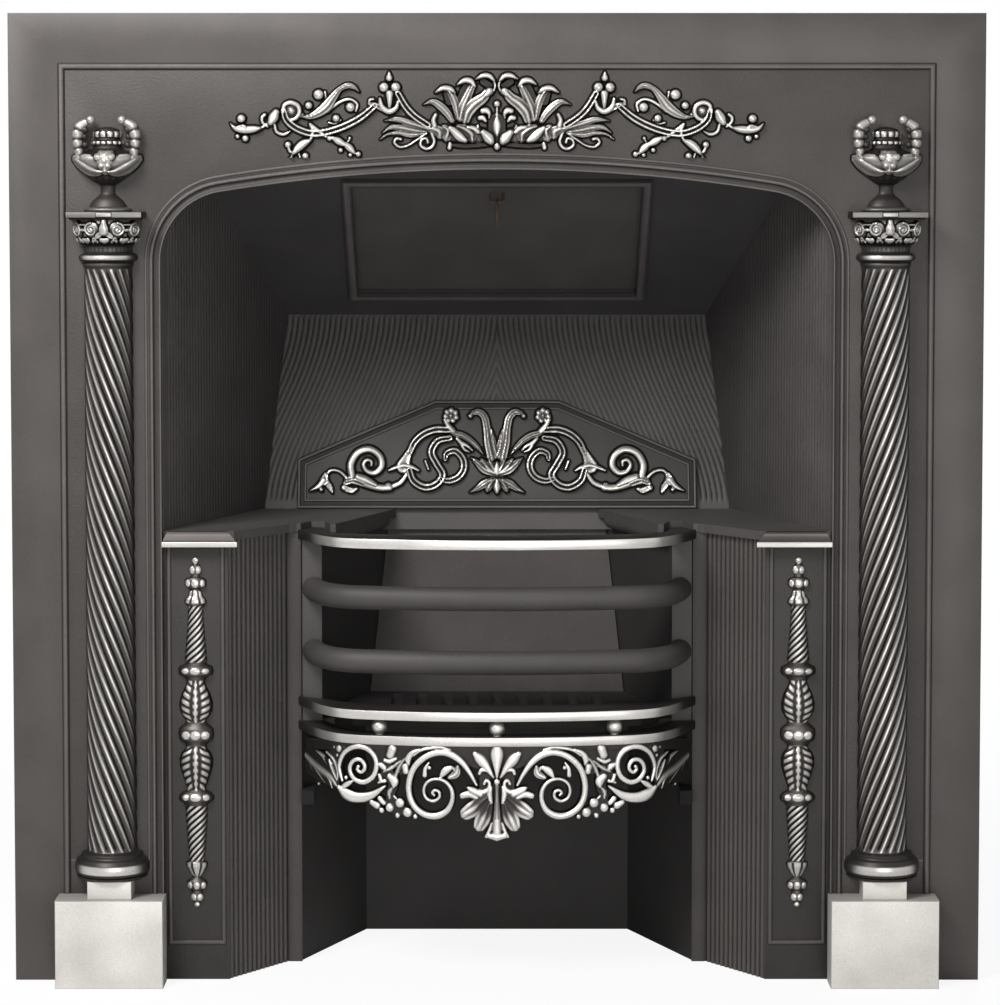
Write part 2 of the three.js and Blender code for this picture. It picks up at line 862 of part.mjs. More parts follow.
function damperStaple() {
  const reach = stapleReach;
  const half = stapleWidth / 2;
  const bend = 3;
  const start = flapFace + seatGap;
  const wire = new THREE.CurvePath();
  const at = (x, z) => new THREE.Vector3(x, stapleAlong, z);
  wire.add(new THREE.LineCurve3(at(-half, start), at(-half, flapFace + reach - bend)));
  wire.add(
    new THREE.QuadraticBezierCurve3(
      at(-half, flapFace + reach - bend),
      at(-half, flapFace + reach),
      at(-half + bend, flapFace + reach),
    ),
  );
  wire.add(new THREE.LineCurve3(at(-half + bend, flapFace + reach), at(half - bend, flapFace + reach)));
  wire.add(
    new THREE.QuadraticBezierCurve3(
      at(half - bend, flapFace + reach),
      at(half, flapFace + reach),
      at(half, flapFace + reach - bend),
    ),
  );
  wire.add(new THREE.LineCurve3(at(half, flapFace + reach - bend), at(half, start)));
  return tube(wire, stapleWire, 20, 8);
}

add("canopy_plate", canopyPlate(), innerIron, canopy);
add("damper_flap", damperFlap(), innerIron, canopy);
add(
  "damper_pin",
  hingeRod(hingePinRadius, -earX - earThickness - 2, earX + earThickness + 2, 12),
  innerIron,
  canopy,
);
add("damper_staple", damperStaple(), rustyWire, canopy);

// The pull ring hangs straight down on the staple's bar.
canopy.updateMatrixWorld(true);
const stapleBar = new THREE.Vector3(0, stapleAlong, flapFace + stapleReach)
  .applyMatrix4(canopy.matrixWorld);
const ringDrop = ringRadius - ringWire - stapleWire - seatGap;
const damperRing = add(
  "damper_ring",
  new THREE.TorusGeometry(ringRadius, ringWire, 8, 28).rotateY(Math.PI / 2),
  rustyWire,
);
damperRing.position.set(0, stapleBar.y, stapleBar.z - ringDrop);

// ---------------------------------------------------------------- fire front

// Half of the rails' plan, from the centre line outwards.
const railOuter = [
  [0, -30], [66, -26.4], [132, -15.6], [161, -9], [174.5, -2], [186, 27], [195, 54], railTip[0],
];
const railInner = [railTip[4], [161, 44], [147, 37], [133, 32], [67, 21.5], [0, 18]];
const bowStep = 22;

/** The rails' outline in plan, one half smoothed and mirrored, ended by the given points. */
function railPlan(endPoints) {
  const outer = smooth([...mirrored(railOuter).reverse(), ...railOuter.slice(1)], 2 * bowStep);
  const inner = smooth([...railInner, ...mirrored(railInner).reverse().slice(1)], 2 * bowStep - 8);
  const left = mirrored(endPoints).reverse();
  return [...outer, ...endPoints, ...inner, ...left];
}

/** What of a geometry lies in front of a plane Y = back, with the gap of a seat. */
const before = (geometry, back) =>
  shared(geometry, box(-halfWidth, halfWidth, frontReach, back - seatGap, 0, plateHeight));
const beforeEnds = (geometry) => before(geometry, endPlateFront);

function rail(top, thickness) {
  return planSlab(railPlan(railTip.slice(1, 4)), top - thickness, top);
}

// The centre line of the bars, a little inside the rails' outer edge.
const barLine = [[0, -8], [66, -4.4], [128, 5], [152, 13], [170, 30], [181, 54], [187, 77.6]];

function bar(height) {
  const half = smooth(barLine, 12);
  const all = [...mirrored(half).reverse(), ...half.slice(1)];
  const curve = new THREE.CatmullRomCurve3(all.map(([x, y]) => new THREE.Vector3(x, y, height)));
  return beforeEnds(tube(curve, barRadius, 30, 12));
}

function ballSpacer() {
  const foot = bandTop;
  const top = lowerRailTop - lowerRailThickness;
  const middle = (foot + top) / 2;
  const profile = [[0, foot], [4, foot], [4, foot + 2]];
  for (let step = 1; step < 8; step += 1) {
    const turn = -Math.PI / 2 + (Math.PI * step) / 8;
    if (Math.cos(turn) * ballRadius > 4) {
      profile.push([Math.cos(turn) * ballRadius, middle + Math.sin(turn) * ballRadius]);
    }
  }
  profile.push([4, top - 2], [4, top], [0, top]);
  return turned(profile, 14);
}

// Half of the apron's front outline, from the centre of its top edge.
const apronHalf = [
  [0, bandTop - 1], [203, bandTop - 1], [203, apronEnd], [190, apronEnd + 2],
  [172, apronEnd - 4], [150, apronEnd - 2], [132, 190], [118, 184], [108, 172], [88, 168],
  [74, 160], [56, 161], [40, 172], [30, 166], [20, 158], [10, 154], [0, apronTip],
];

function apron() {
  const wall = railPlan([[188, 90]]);
  const outer = smooth([...mirrored(railOuter).reverse(), ...railOuter.slice(1)], 2 * bowStep);
  const thin = outer.map(([x, y]) => [x * (1 - apronThickness / 200), y + apronThickness]).reverse();
  const curved = planSlab([...outer, ...thin], apronTip - 1, bandTop - 2);
  const holes = [
    circle(scrollCentreX, scrollCentreZ, scrollHole, 14),
    circle(-scrollCentreX, scrollCentreZ, scrollHole, 14),
    circle(sideScrollCentreX, sideScrollCentreZ, scrollHole, 14),
    circle(-sideScrollCentreX, sideScrollCentreZ, scrollHole, 14),
  ];
  const front = frontSlab(shapeOf(bothHalves(apronHalf), holes), chamberFront + 20, 200);
  const band = shared(
    planSlab(wall, bandTop - bandThickness, bandTop),
    planSlab(
      [...outer, ...outer.map(([x, y]) => [x * (1 - bandWidth / 240), y + bandWidth]).reverse()],
      bandTop - bandThickness - 1,
      bandTop + 1,
    ),
  );
  return before(joined(shared(curved, front), band), returnCornerY);
}

const fireFront = new THREE.Group();
grate.add(fireFront);
add("top_rail", rail(topRailTop, topRailThickness), brushedIron, fireFront);
add("lower_rail", beforeEnds(rail(lowerRailTop, lowerRailThickness)), brushedIron, fireFront);
for (const [name, height] of Object.entries(barHeights)) {
  add(`${name}_bar`, bar(height), innerIron, fireFront);
}
for (const [name, x, y] of [
  ["left_ball_spacer", -ballSpread, -7],
  ["middle_ball_spacer", 0, -19],
  ["right_ball_spacer", ballSpread, -7],
]) {
  add(name, ballSpacer(), brushedIron, fireFront).position.set(x, y, 0);
}
add("apron", apron(), burnishedIron, fireFront);
for (const [name, side] of Object.entries(sides)) {
  const inner = side * endPlateInner;
  const outer = side * endPlateOuter;
  add(
    `${name}_end_plate`,
    box(
      Math.min(inner, outer),
      Math.max(inner, outer),
      endPlateFront,
      endPlateFront + endPlateThickness,
      frontBottom,
      railBottom,
    ),
    innerIron,
    fireFront,
  );
}

// ---------------------------------------------------------------- fire chamber

const sidePlateOffset = sidePlateThickness * Math.hypot(1, chamberSlope);
const shelfBottom = shelfTop - shelfThickness;
const brickTopFront = firebackFace(firebackBottom) + brickSetBack;
const brickTopBack = brickTopFront + brickThickness;

/** The upright plate beside the fire, with the shelf that the bottom grate rests on. */
function sidePlate(side) {
  const shelfBack = brickFootY - 1;
  const profile = [
    [chamberFront, shelfTop - 1],
    [shelfBack, shelfTop - 1],
    [shelfBack, shelfTop + seatGap],
    [brickTopBack, shelfTop + seatGap],
    [brickTopBack, firebackBottom - seatGap],
    [chamberBack, firebackBottom - seatGap],
    [chamberBack, sidePlateTop],
    [chamberFront, sidePlateTop],
  ];
  const shelf = [
    [ashX(chamberFront) + ashThickness, chamberFront],
    [chamberX(chamberFront) - shelfLedge, chamberFront],
    [chamberX(shelfBack) - shelfLedge, shelfBack],
    [ashX(shelfBack) + ashThickness, shelfBack],
  ];
  const wall = standing(profile, side, sidePlateOffset, chamberX);
  return joined(wall, planSlab(sided(shelf, side), shelfBottom, shelfTop));
}

/** A block with four corners below and four above, each list anticlockwise in plan. */
function block(below, above) {
  const corners = [...below, ...above].flat();
  const faces = [
    0, 2, 1, 0, 3, 2, 4, 5, 6, 4, 6, 7,
    0, 1, 5, 0, 5, 4, 1, 2, 6, 1, 6, 5,
    2, 3, 7, 2, 7, 6, 3, 0, 4, 3, 4, 7,
  ];
  const geometry = new THREE.BufferGeometry();
  geometry.setAttribute("position", new THREE.Float32BufferAttribute(corners, 3));
  geometry.setIndex(faces);
  geometry.computeVertexNormals();
  return geometry;
}

function backBrick() {
  const top = firebackBottom - seatGap;
  const ring = (y, z) => {
    const front = chamberX(y) - brickClearance;
    const backY = y + brickThickness;
    const back = chamberX(backY) - brickClearance;
    return [
      [-front, y, z],
      [front, y, z],
      [back, backY, z],
      [-back, backY, z],
    ];
  };
  return block(ring(brickFootY, shelfTop), ring(brickTopFront, top));
}

function bottomGrate() {
  const half = (y) => chamberX(y) - grateClearance;
  const back = brickFootY - grateClearance;
  const outline = bothHalves([
    [0, 22.5],
    [60, 25.5],
    [120, 34],
    [146, 44],
    [161, 62],
    [167, chamberFront],
    [half(back), back],
  ]);
  const slotFront = 48;
  const slotBack = back - 16;
  const middle = (grateSlots - 1) / 2;
  const slots = Array.from({ length: grateSlots }, (_, i) => {
    const x = (i - middle) * grateSlotPitch;
    const side = grateSlotWidth / 2;
    return box(x - side, x + side, slotFront, slotBack, shelfTop - 1, shelfTop + grateThickness + 1);
  });
  return cut(planSlab(outline, shelfTop, shelfTop + grateThickness), ...slots);
}

// ---------------------------------------------------------------- ash recess

function ashCheek(side) {
  const front = returnCornerY + returnThickness + seatGap;
  const back = ashBackY - seatGap;
  return planSlab(
    sided(
      [
        [ashX(front), front],
        [ashX(back), back],
        [ashX(back) + ashThickness, back],
        [ashX(front) + ashThickness, front],
      ],
      side,
    ),
    0,
    shelfBottom,
  );
}

function ashBack() {
  const half = ashX(ashBackY) + ashThickness;
  const shelfFront = brickFootY - 0.7;
  const wall = box(-half, half, ashBackY, ashBackY + ashThickness, 0, shelfTop);
  const shelf = planSlab(
    bothHalves([
      [ashX(shelfFront) + ashThickness, shelfFront],
      [half, ashBackY + 1],
    ]),
    shelfBottom,
    shelfTop,
  );
  return joined(wall, shelf);
}

/** The nib that an end of the fire front rests on. */
function frontLug(side) {
  const top = apronEnd - seatGap;
  const outer = ashX(returnCornerY + returnThickness) - seatGap;
  const inner = outer - frontLugWidth;
  const clearOf = 0.5;
  const seatBack = returnCornerY + returnThickness + frontLugWidth / ashSlope;
  return planSlab(
    sided(
      [
        [outer, returnCornerY - 10],
        [inner, returnCornerY - 10],
        [inner, seatBack],
        [outer, returnCornerY + returnThickness - clearOf],
      ],
      side,
    ),
    top - frontLugHeight,
    top,
  );
}

for (const [name, side] of Object.entries(sides)) {
  add(`${name}_side_plate`, sidePlate(side), innerIron);
  add(`${name}_ash_cheek`, ashCheek(side), innerIron);
  add(`${name}_front_lug`, frontLug(side), innerIron);
}
add("back_brick", backBrick(), innerIron);
add("bottom_grate", bottomGrate(), innerIron);
add("ash_back", ashBack(), innerIron);

// ---------------------------------------------------------------- fixings behind the plate

/** An angle lug with one screw hole, its foot on the plate's back and its arm outwards. */
function wallLug(side) {
  const half = wallLugWidth / 2;
  const back = plateThickness + wallLugDepth;
  const foot = box(-half, half, plateThickness, plateThickness + wallLugThickness, -half, half);
  const arm = box(-half, -half + wallLugThickness, plateThickness, back, -half, half);
  const hole = new THREE.CylinderGeometry(wallLugHole, wallLugHole, 3 * wallLugThickness, 16)
    .rotateZ(Math.PI / 2)
    .translate(-half, plateThickness + 0.6 * wallLugDepth, 0);
  return cut(joined(foot, arm), hole).rotateY(side > 0 ? Math.PI : 0);
}

/** A hexagon nut on its stud's end. */
function nutOnStud() {
  const nut = new THREE.CylinderGeometry(nutFlats / Math.sqrt(3), nutFlats / Math.sqrt(3), nutThickness, 6)
    .translate(0, nutThickness / 2, 0);
  const stud = new THREE.CylinderGeometry(studRadius, studRadius, nutThickness + studReach - 1, 12)
    .translate(0, (nutThickness + studReach + 1) / 2, 0);
  return joined(nut, stud);
}

for (const [name, side] of Object.entries(sides)) {
  for (const [level, height] of Object.entries(wallLugHeights)) {
    const lug = add(`${name}_${level}_wall_lug`, wallLug(side), blackIron);
    lug.position.set(side * wallLugX, 0, height);
  }
  for (const [level, height] of [
    ["low", blockHeight / 2],
    ["middle", shaftStudHeight],
    ["high", columnTop - capitalStudDrop],
  ]) {
    add(`${name}_${level}_nut`, nutOnStud(), blackIron).position.set(
      side * columnX,
      plateThickness,
      height,
    );
  }
}

// ---------------------------------------------------------------- origin

grate.position.y = -(frontReach + backReach) / 2;

export default grate;
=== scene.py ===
"""A cast iron hob grate: the looks of every piece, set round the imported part."""
from math import atan, ceil, cos, hypot, pi, radians, sin, sqrt

import bmesh
import bpy
import numpy as np
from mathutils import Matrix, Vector


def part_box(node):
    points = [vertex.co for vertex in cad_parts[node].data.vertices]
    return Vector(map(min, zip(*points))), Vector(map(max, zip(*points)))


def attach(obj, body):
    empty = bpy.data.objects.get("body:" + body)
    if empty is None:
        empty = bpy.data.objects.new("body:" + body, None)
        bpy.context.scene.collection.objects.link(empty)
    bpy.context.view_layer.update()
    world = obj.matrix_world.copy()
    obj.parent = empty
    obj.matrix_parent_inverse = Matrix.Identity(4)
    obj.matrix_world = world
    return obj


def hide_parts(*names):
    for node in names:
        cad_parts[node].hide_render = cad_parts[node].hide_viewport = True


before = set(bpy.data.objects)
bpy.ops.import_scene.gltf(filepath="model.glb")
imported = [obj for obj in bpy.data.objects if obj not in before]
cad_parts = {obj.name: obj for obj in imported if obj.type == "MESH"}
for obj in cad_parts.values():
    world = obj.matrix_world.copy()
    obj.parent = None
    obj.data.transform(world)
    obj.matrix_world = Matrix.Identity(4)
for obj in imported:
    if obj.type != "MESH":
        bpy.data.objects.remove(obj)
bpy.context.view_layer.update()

MM = 0.001

# ------------------------------------------------------------------ sizes, in millimetres
# x is measured from the middle, y back from the plate's face, z up from the hearth.

PLATE_THICKNESS = 6
PLATE_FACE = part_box("front_plate")[1][1] - PLATE_THICKNESS * MM
PLATE_HALF = 482.5
PLATE_TOP = 965
LET_IN = 0.3  # how far applied ornament is sunk in what carries it

OPENING_HALF = 333
ARCH_CROWN = 811
ARCH_RADIUS = 1712
ARCH_CORNER = 70
MOULDING_FOOT = 88.3
RIM_HALF = 433
RIM_TOP = 915.5

COLUMN_X = 384.5
BLOCK_HALF = 53.5
BLOCK_TOP = 88
BLOCK_DEPTH = 36
PAD_HALF = 22
PAD_TOP = 106
PAD_DEPTH = 30
COLUMN_FLUTES = 17  # round a whole turn
FLUTE_RISE = 21.6  # from one flute to the next, straight up the column
BALUSTER_X = 300.5
PILASTER_FACE = 3.0
PILASTER_INNER = 268.0
PILASTER_OUTER = 332.7
PILASTER_TOP = 443
RETURN_TOP = 442.7

FRIEZE_MIDDLE = 862.5  # the heights that the strokes of each ornament are drawn from
CREST_MIDDLE = 500
APRON_MIDDLE = 195
CAPITAL_MIDDLE = 750
URN_MIDDLE = 819.4
HANDLE_Y = -10.0  # of the urn's handles

HOB_TOP = 452
FIREBACK_Y = 236  # at the hobs' height
FIREBACK_LEAN = 0.2913  # back, for each millimetre up
FIREBACK_TOP = 657.4
FIREBACK_FOOT = 430
CHEEK_SLOPE = 0.364  # inwards, for each millimetre back
CHEEK_CORNER = 4
CHEEK_LAP = 6.3  # from a cheek's face to its back, and how far the fireback laps behind it
CREST_HALF = 214
CREST_TOP_HALF = 67
CREST_FOOT = 452.3
CREST_SHOULDER = 52
CREST_HEIGHT = 114
CREST_THICKNESS = 6

CANOPY_FOOT_Y = 296
CANOPY_FOOT_Z = 658
CANOPY_SLOPE = 0.744

# Half plans of the fire front, as x and y: the rails' front edge from the middle out, the hooked end of the
# top rail, the rails' back edge from the end in, and the middle line of the round bars.
RAIL_FRONT = [(0, -30), (66, -26.4), (118, -18), (144, -10.6), (162, 0.6), (176, 18), (187, 39), (196, 59),
              (203, 75)]
RAIL_HOOK = [(199, 75.6), (190, 100), (178, 96)]
RAIL_BACK = [(171, 56), (161, 44), (147, 37), (133, 32), (67, 21.5), (0, 18)]
BAR_LINE = [(0, -8), (66, -4.4), (128, 5), (152, 13), (170, 30), (181, 54), (187, 77.6)]
BAR_RADIUS = 12
END_PLATE_FRONT = 77.7
# The rails as name, top, thickness and how far back they run, the bars as name and height, and the balls
# under the lower rail as name and place.
RAILS = (("top", 446, 10, 200), ("lower", 275, 9.4, END_PLATE_FRONT))
BARS = (("upper", 385), ("lower", 321))
BALLS = (("left", -117, -7), ("middle", 0, -19), ("right", 117, -7))
APRON_SET_BACK = 3.4  # the apron's ground, behind the rails' front edge
BAND_LOW, BAND_TOP = 240.6, 250  # the apron's plain band
BAND_WIDTH = 22
BAND_END = 75.6
SIDES = {"left": -1, "right": 1}


# ------------------------------------------------------------------ finishes

def srgb(code):
    """Linear red, green, blue and alpha of an sRGB hex colour."""
    parts = [int(code[i:i + 2], 16) / 255 for i in (0, 2, 4)]
    return [c / 12.92 if c <= 0.04045 else ((c + 0.055) / 1.055) ** 2.4 for c in parts] + [1.0]


def add(tree, kind, settings=None, **links):
    """A node with its settings, and its inputs linked to sockets or set to values."""
    node = tree.nodes.new("ShaderNode" + kind)
    for key, value in (settings or {}).items():
        setattr(node, key, value)
    for key, value in links.items():
        socket = node.inputs[int(key[1:])] if key[1:].isdigit() else node.inputs[key.replace("_", " ")]
        if isinstance(value, bpy.types.NodeSocket):
            tree.links.new(value, socket)
        else:
            socket.default_value = value
    return node


RUB_STOPS = (0.0, 0.35, 0.75)  # how far the hollows, the plain face and the bright places are rubbed


def iron(name, colours, grain_mm, relief_mm, roughness, metal):
    """Cast iron in its finish. The point attribute says where a piece is black (0) or ground bright (1), and
    on some pieces it also carries painted highlights and painted shade: it goes through the colours of its
    hollows, its plain face and its bright places, and from the face's roughness to the polish's. A finish
    that is even all over, as the wire's and the brick's are, has one colour and one roughness."""
    even = len(colours) == 1
    material = bpy.data.materials.new(name)
    material.use_nodes = True
    tree = material.node_tree
    tree.nodes.clear()
    place = add(tree, "TexCoord").outputs["Object"]
    rubbed = 0.0 if even else add(tree, "Attribute", {"attribute_name": "rubbed"}).outputs["Fac"]
    grain = add(tree, "TexNoise", None, Vector=place, Scale=1 / (grain_mm * MM), Detail=3.0, Roughness=0.6)
    cloud = add(tree, "TexNoise", None, Vector=place, Scale=1 / (60 * MM), Detail=2.0)
    if even:
        colour = srgb(colours[0])[:3]
    else:
        shades = add(tree, "ValToRGB", Fac=rubbed)
        stops = shades.color_ramp.elements
        stops.new(0.5)
        for stop, rub, code in zip(stops, RUB_STOPS, colours):
            stop.position, stop.color = rub, srgb(code)
        colour = shades.outputs["Color"]
    tone = add(tree, "MapRange", None, Value=cloud.outputs["Fac"], From_Min=0.3, From_Max=0.7, To_Min=0.88,
               To_Max=1.1)
    speck = add(tree, "MapRange", None, Value=grain.outputs["Fac"], From_Min=0.3, From_Max=0.7, To_Min=0.86,
                To_Max=1.12)
    shade = add(tree, "Math", {"operation": "MULTIPLY"}, _0=tone.outputs[0], _1=speck.outputs[0])
    tinted = add(tree, "VectorMath", {"operation": "SCALE"}, _0=colour, Scale=shade.outputs[0])
    dull = add(tree, "MapRange", None, Value=rubbed, From_Min=0.3, From_Max=0.85, To_Min=roughness[0],
               To_Max=roughness[-1])
    patch = add(tree, "MapRange", None, Value=grain.outputs["Fac"], From_Min=0.3, From_Max=0.7, To_Min=-0.05,
                To_Max=0.05)
    uneven = add(tree, "Math", {"operation": "ADD"}, _0=dull.outputs[0], _1=patch.outputs[0])
    bump = add(tree, "Bump", None, Height=grain.outputs["Fac"], Distance=relief_mm * MM, Strength=1.0)
    shader = add(tree, "BsdfPrincipled", None, Base_Color=tinted.outputs[0], Roughness=uneven.outputs[0],
                 Metallic=metal, Specular_IOR_Level=0.35, Normal=bump.outputs[0])
    add(tree, "OutputMaterial", None, Surface=shader.outputs[0])
    return material


# The grains below are in millimetres. The real pits of moulding sand are about 0.3 mm and the marks of
# grinding are finer still: they are too fine to show, so they are drawn as coarse as they need to be.

# Sand-cast iron rubbed with black grate polish: a dark warm grey with the fine pits of moulding sand.
leaded_iron = iron("sand_cast_iron_black_leaded", ["121010", "423e3c", "625d5b"], 1.8, 0.4, [0.54, 0.4], 0.2)
# The flat border was dressed with a stone before blacking, so its grain is finer and it shines a little more.
dressed_iron = iron("dressed_iron_black_leaded", ["121010", "45413f", "625d5b"], 0.9, 0.08, [0.44, 0.4], 0.2)
# The hearth's inner castings are blacked heavily and drink up the light.
fire_iron = iron("cast_iron_blacked_for_the_fire", ["131211", "444140", "5c5856"], 1.5, 0.2, [0.6, 0.5], 0.2)
# The same finish on the flat plates of the hearth, which nothing has rubbed.
hearth_plate = iron("cast_plate_blacked_for_the_fire", ["484544"], 1.5, 0.2, [0.6], 0.2)
# The canopy over the fire is given a darker colour than the rest: painted shade, where the arch and cheeks
# keep the light off it.
painted_shade_plate = iron("cast_plate_with_painted_shade", ["383636"], 1.5, 0.2, [0.65], 0.15)
# Raised ornament burnished bright on its high places, with the blacking left in its hollows.
burnished_iron = iron("burnished_cast_iron", ["0b0909", "3f3b39", "bbb8b3"], 1.1, 0.05, [0.48, 0.3], 0.75)
# The apron's ornament has been ground further, so its high places are silver.
silvered_iron = iron("silvered_apron_iron", ["0b0909", "454140", "d0cdc9"], 1.1, 0.05, [0.48, 0.3], 0.75)
# Turned and twisted column, burnished on the crests only, darker than the ornament.
twisted_iron = iron("burnished_twisted_iron", ["100f0e", "55514f", "cbc8c4"], 1.2, 0.06, [0.42, 0.28], 0.7)
# Edges and faces ground and brushed along their length to a pale silver.
bright_iron = iron("brushed_bright_iron", ["151413", "4a4644", "c9c6c1"], 0.8, 0.03, [0.5, 0.32], 0.8)
# The blocks under the columns, ground flat and left matt.
ground_iron = iron("ground_iron_block", ["151413", "4a4644", "c4c1bc"], 0.9, 0.03, [0.6, 0.55], 0.35)
# Plates behind and under the fire, dulled by soot: nearly black.
sooted_plate = iron("sooted_cast_plate", ["292726"], 1.5, 0.2, [0.7], 0.1)
# The lugs next to the ash pit are made nearly black, darker than the plates round them: painted shade, so
# only their shape shows against the dark.
painted_shade_black = iron("iron_blackened_as_painted_shade", ["121111"], 1.5, 0.2, [0.85], 0.0)
# Brown wire that has rusted evenly in the smoke.
rusted_wire = iron("rusted_iron_wire", ["57483f"], 0.7, 0.1, [0.7], 0.3)
# Fireclay brick, darkened with the same grate polish: dull, with coarser pits.
fire_brick = iron("blacked_fireclay_brick", ["484443"], 2.4, 0.5, [0.85], 0.0)


# ------------------------------------------------------------------ pieces from points and faces

def placed(points):
    """Points in millimetres, y back from the plate's face, as points of the shared frame in metres."""
    return np.asarray(points, float) * MM + (0.0, PLATE_FACE, 0.0)


def grid_faces(rows, cols, round_rows=False, round_cols=False):
    """The four-sided faces of a grid of points, which may close on itself either way."""
    i = np.arange(rows if round_rows else rows - 1)[:, None]
    j = np.arange(cols if round_cols else cols - 1)[None, :]
    down, across = (i + 1) % rows, (j + 1) % cols
    return np.stack([i * cols + j, i * cols + across, down * cols + across, down * cols + j],
                    -1).reshape(-1, 4)


class Casting:
    """The points and faces of one piece, with how bright each point is rubbed, painted light and shade
    included.
    """

    def __init__(self):
        self.points, self.faces, self.rubbed, self.count = [], [], [], 0

    def put(self, points, faces, rubbed):
        """Adds points, faces that count from the first of them, and each point's rub with its painted light.
        """
        self.points.append(points)
        self.faces.extend([[self.count + int(i) for i in face] for face in faces])
        self.rubbed.append(rubbed)
        self.count += len(points)

    def skin(self, front, back, rubbed, back_rubbed=0.3):
        """A solid between two grids of points of the same size."""
        rows, cols = front.shape[:2]
        total = rows * cols
        faces = grid_faces(rows, cols)
        edge = ([(0, j) for j in range(cols)] + [(i, cols - 1) for i in range(1, rows)]
                + [(rows - 1, j) for j in range(cols - 2, -1, -1)] + [(i, 0) for i in range(rows - 2, 0, -1)])
        ring = [i * cols + j for i, j in edge]
        walls = [(a, b, b + total, a + total) for a, b in zip(ring, ring[1:] + ring[:1])]
        rub = np.concatenate([np.broadcast_to(rubbed, (rows, cols)).ravel(), np.full(total, back_rubbed)])
        self.put(np.concatenate([front.reshape(-1, 3), back.reshape(-1, 3)]),
                 [*faces, *(faces[:, ::-1] + total), *walls], rub)

    def tube(self, rings, rubbed, closed=False):
        """A solid through rings of points, its ends closed by flat faces unless it runs round."""
        rows, cols = rings.shape[:2]
        faces = [*grid_faces(rows, cols, closed, True)]
        if not closed:
            faces += [list(range(cols))[::-1], [(rows - 1) * cols + j for j in range(cols)]]
        self.put(rings.reshape(-1, 3), faces, np.broadcast_to(rubbed, (rows, cols)).ravel())


SHARP_DEGREES = 32  # edges that turn by more than this stay crisp
BEVEL_DEGREES = 40  # and edges of the plain castings that turn by more than this are eased


def cast(name, casting, finish, slot, *nodes, body="grate"):
    """Makes the piece, which replaces its CAD nodes and rides on their body."""
    mesh = bpy.data.meshes.new(name)
    mesh.from_pydata(placed(np.concatenate(casting.points)).tolist(), [], casting.faces)
    attribute = mesh.attributes.new("rubbed", "FLOAT", "POINT")
    attribute.data.foreach_set("value", np.concatenate(casting.rubbed).astype(np.float32))
    form = bmesh.new()
    form.from_mesh(mesh)
    bmesh.ops.recalc_face_normals(form, faces=form.faces)
    form.to_mesh(mesh)
    form.free()
    mesh.polygons.foreach_set("use_smooth", [True] * len(mesh.polygons))
    mesh.set_sharp_from_angle(angle=radians(SHARP_DEGREES))
    mesh.materials.append(finish)
    piece = bpy.data.objects.new(name, mesh)
    bpy.context.collection.objects.link(piece)
    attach(piece, body)
    if nodes:
        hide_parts(*nodes)


def dress(node, finish, edge=0.0):
    """Gives a CAD node that keeps its shape its finish, and edges as soft as a casting's."""
    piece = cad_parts[node]
    if not piece.material_slots:
        piece.data.materials.append(finish)
    for slot in piece.material_slots:
        slot.link = "OBJECT"
        slot.material = finish
    if edge:
        soft = piece.modifiers.new("soft_edges", "BEVEL")
        soft.width = edge * MM
        soft.segments = 2
        soft.limit_method = "ANGLE"
        soft.angle_limit = radians(BEVEL_DEGREES)


def eased(points, step):
    """A smooth line through the points, as rows about a step apart. One point stays as it is."""
    p = np.asarray(points, float)
    if len(p) < 2:
        return p
    q = np.vstack([2 * p[0] - p[1], p, 2 * p[-1] - p[-2]])
    rows = []
    for a, b, c, d in zip(q, q[1:], q[2:], q[3:]):
        count = max(2, ceil(np.linalg.norm((c - b)[:2]) / step))
        t = np.linspace(0, 1, count, endpoint=False)[:, None]
        rows.append(0.5 * (2 * b + (c - a) * t + (2 * a - 5 * b + 4 * c - d) * t ** 2
                           + (3 * b - a - 3 * c + d) * t ** 3))
    return np.vstack(rows + [p[-1:]])


def dense(points, step):
    """The same straight lines, with points along them no further apart than a step."""
    rows = []
    for a, b in zip(points, points[1:]):
        a, b = np.asarray(a, float), np.asarray(b, float)
        count = max(1, ceil(np.linalg.norm(b - a) / step))
        rows += [a + (b - a) * k / count for k in range(count)]
    return np.array(rows + [np.asarray(points[-1], float)])


def corners(path, closed):
    """At each point of a line in a plane, the way to its left, long enough to make a true mitre."""
    p = np.asarray(path, float)
    before, after = np.roll(p, 1, 0), np.roll(p, -1, 0)
    one, two = p - before, after - p
    if not closed:
        one[0], two[-1] = two[0], one[-1]
    one /= np.linalg.norm(one, axis=1)[:, None] + 1e-12
    two /= np.linalg.norm(two, axis=1)[:, None] + 1e-12
    left = np.stack([-(one + two)[:, 1], (one + two)[:, 0]], -1)
    return left / np.maximum(1e-6, (1 + (one * two).sum(1)))[:, None]


def run(casting, path, profile, place, closed, rubbed):
    """A moulding of one profile, (left of the line, height) points, along a line in a plane."""
    path = np.asarray(path, float)
    left = corners(path, closed)
    rings = np.stack([np.stack([path[:, 0] + left[:, 0] * out, path[:, 1] + left[:, 1] * out,
                                np.full(len(path), float(up))], -1) for out, up in profile], 1)
    casting.tube(place(rings), rubbed, closed)


def slab(casting, outline, low, high, place, soft=0.8, edge_rubbed=0.5, face_rubbed=0.5):
    """A plate cut to an outline, its edges softened. The outline runs anticlockwise."""
    outline = np.asarray(outline, float)
    left = corners(outline, True)
    rows = [(soft, low), (soft * 0.3, low + soft * 0.3), (0, low + soft), (0, high - soft),
            (soft * 0.3, high - soft * 0.3), (soft, high)]
    rings = np.stack([np.column_stack([outline + left * inset, np.full(len(outline), up)])
                      for inset, up in rows])
    rub = np.stack([np.broadcast_to(r, len(outline)) for r in
                    (face_rubbed, edge_rubbed, edge_rubbed, edge_rubbed, edge_rubbed, face_rubbed)])
    casting.tube(place(rings), rub)


def upright(rings):
    """Line, height and rise off the plate's face, as x, y and z."""
    return np.stack([rings[..., 0], -rings[..., 2], rings[..., 1]], -1)


def plan(rings):
    """A plan's x and y with a height, which are x, y and z already."""
    return rings


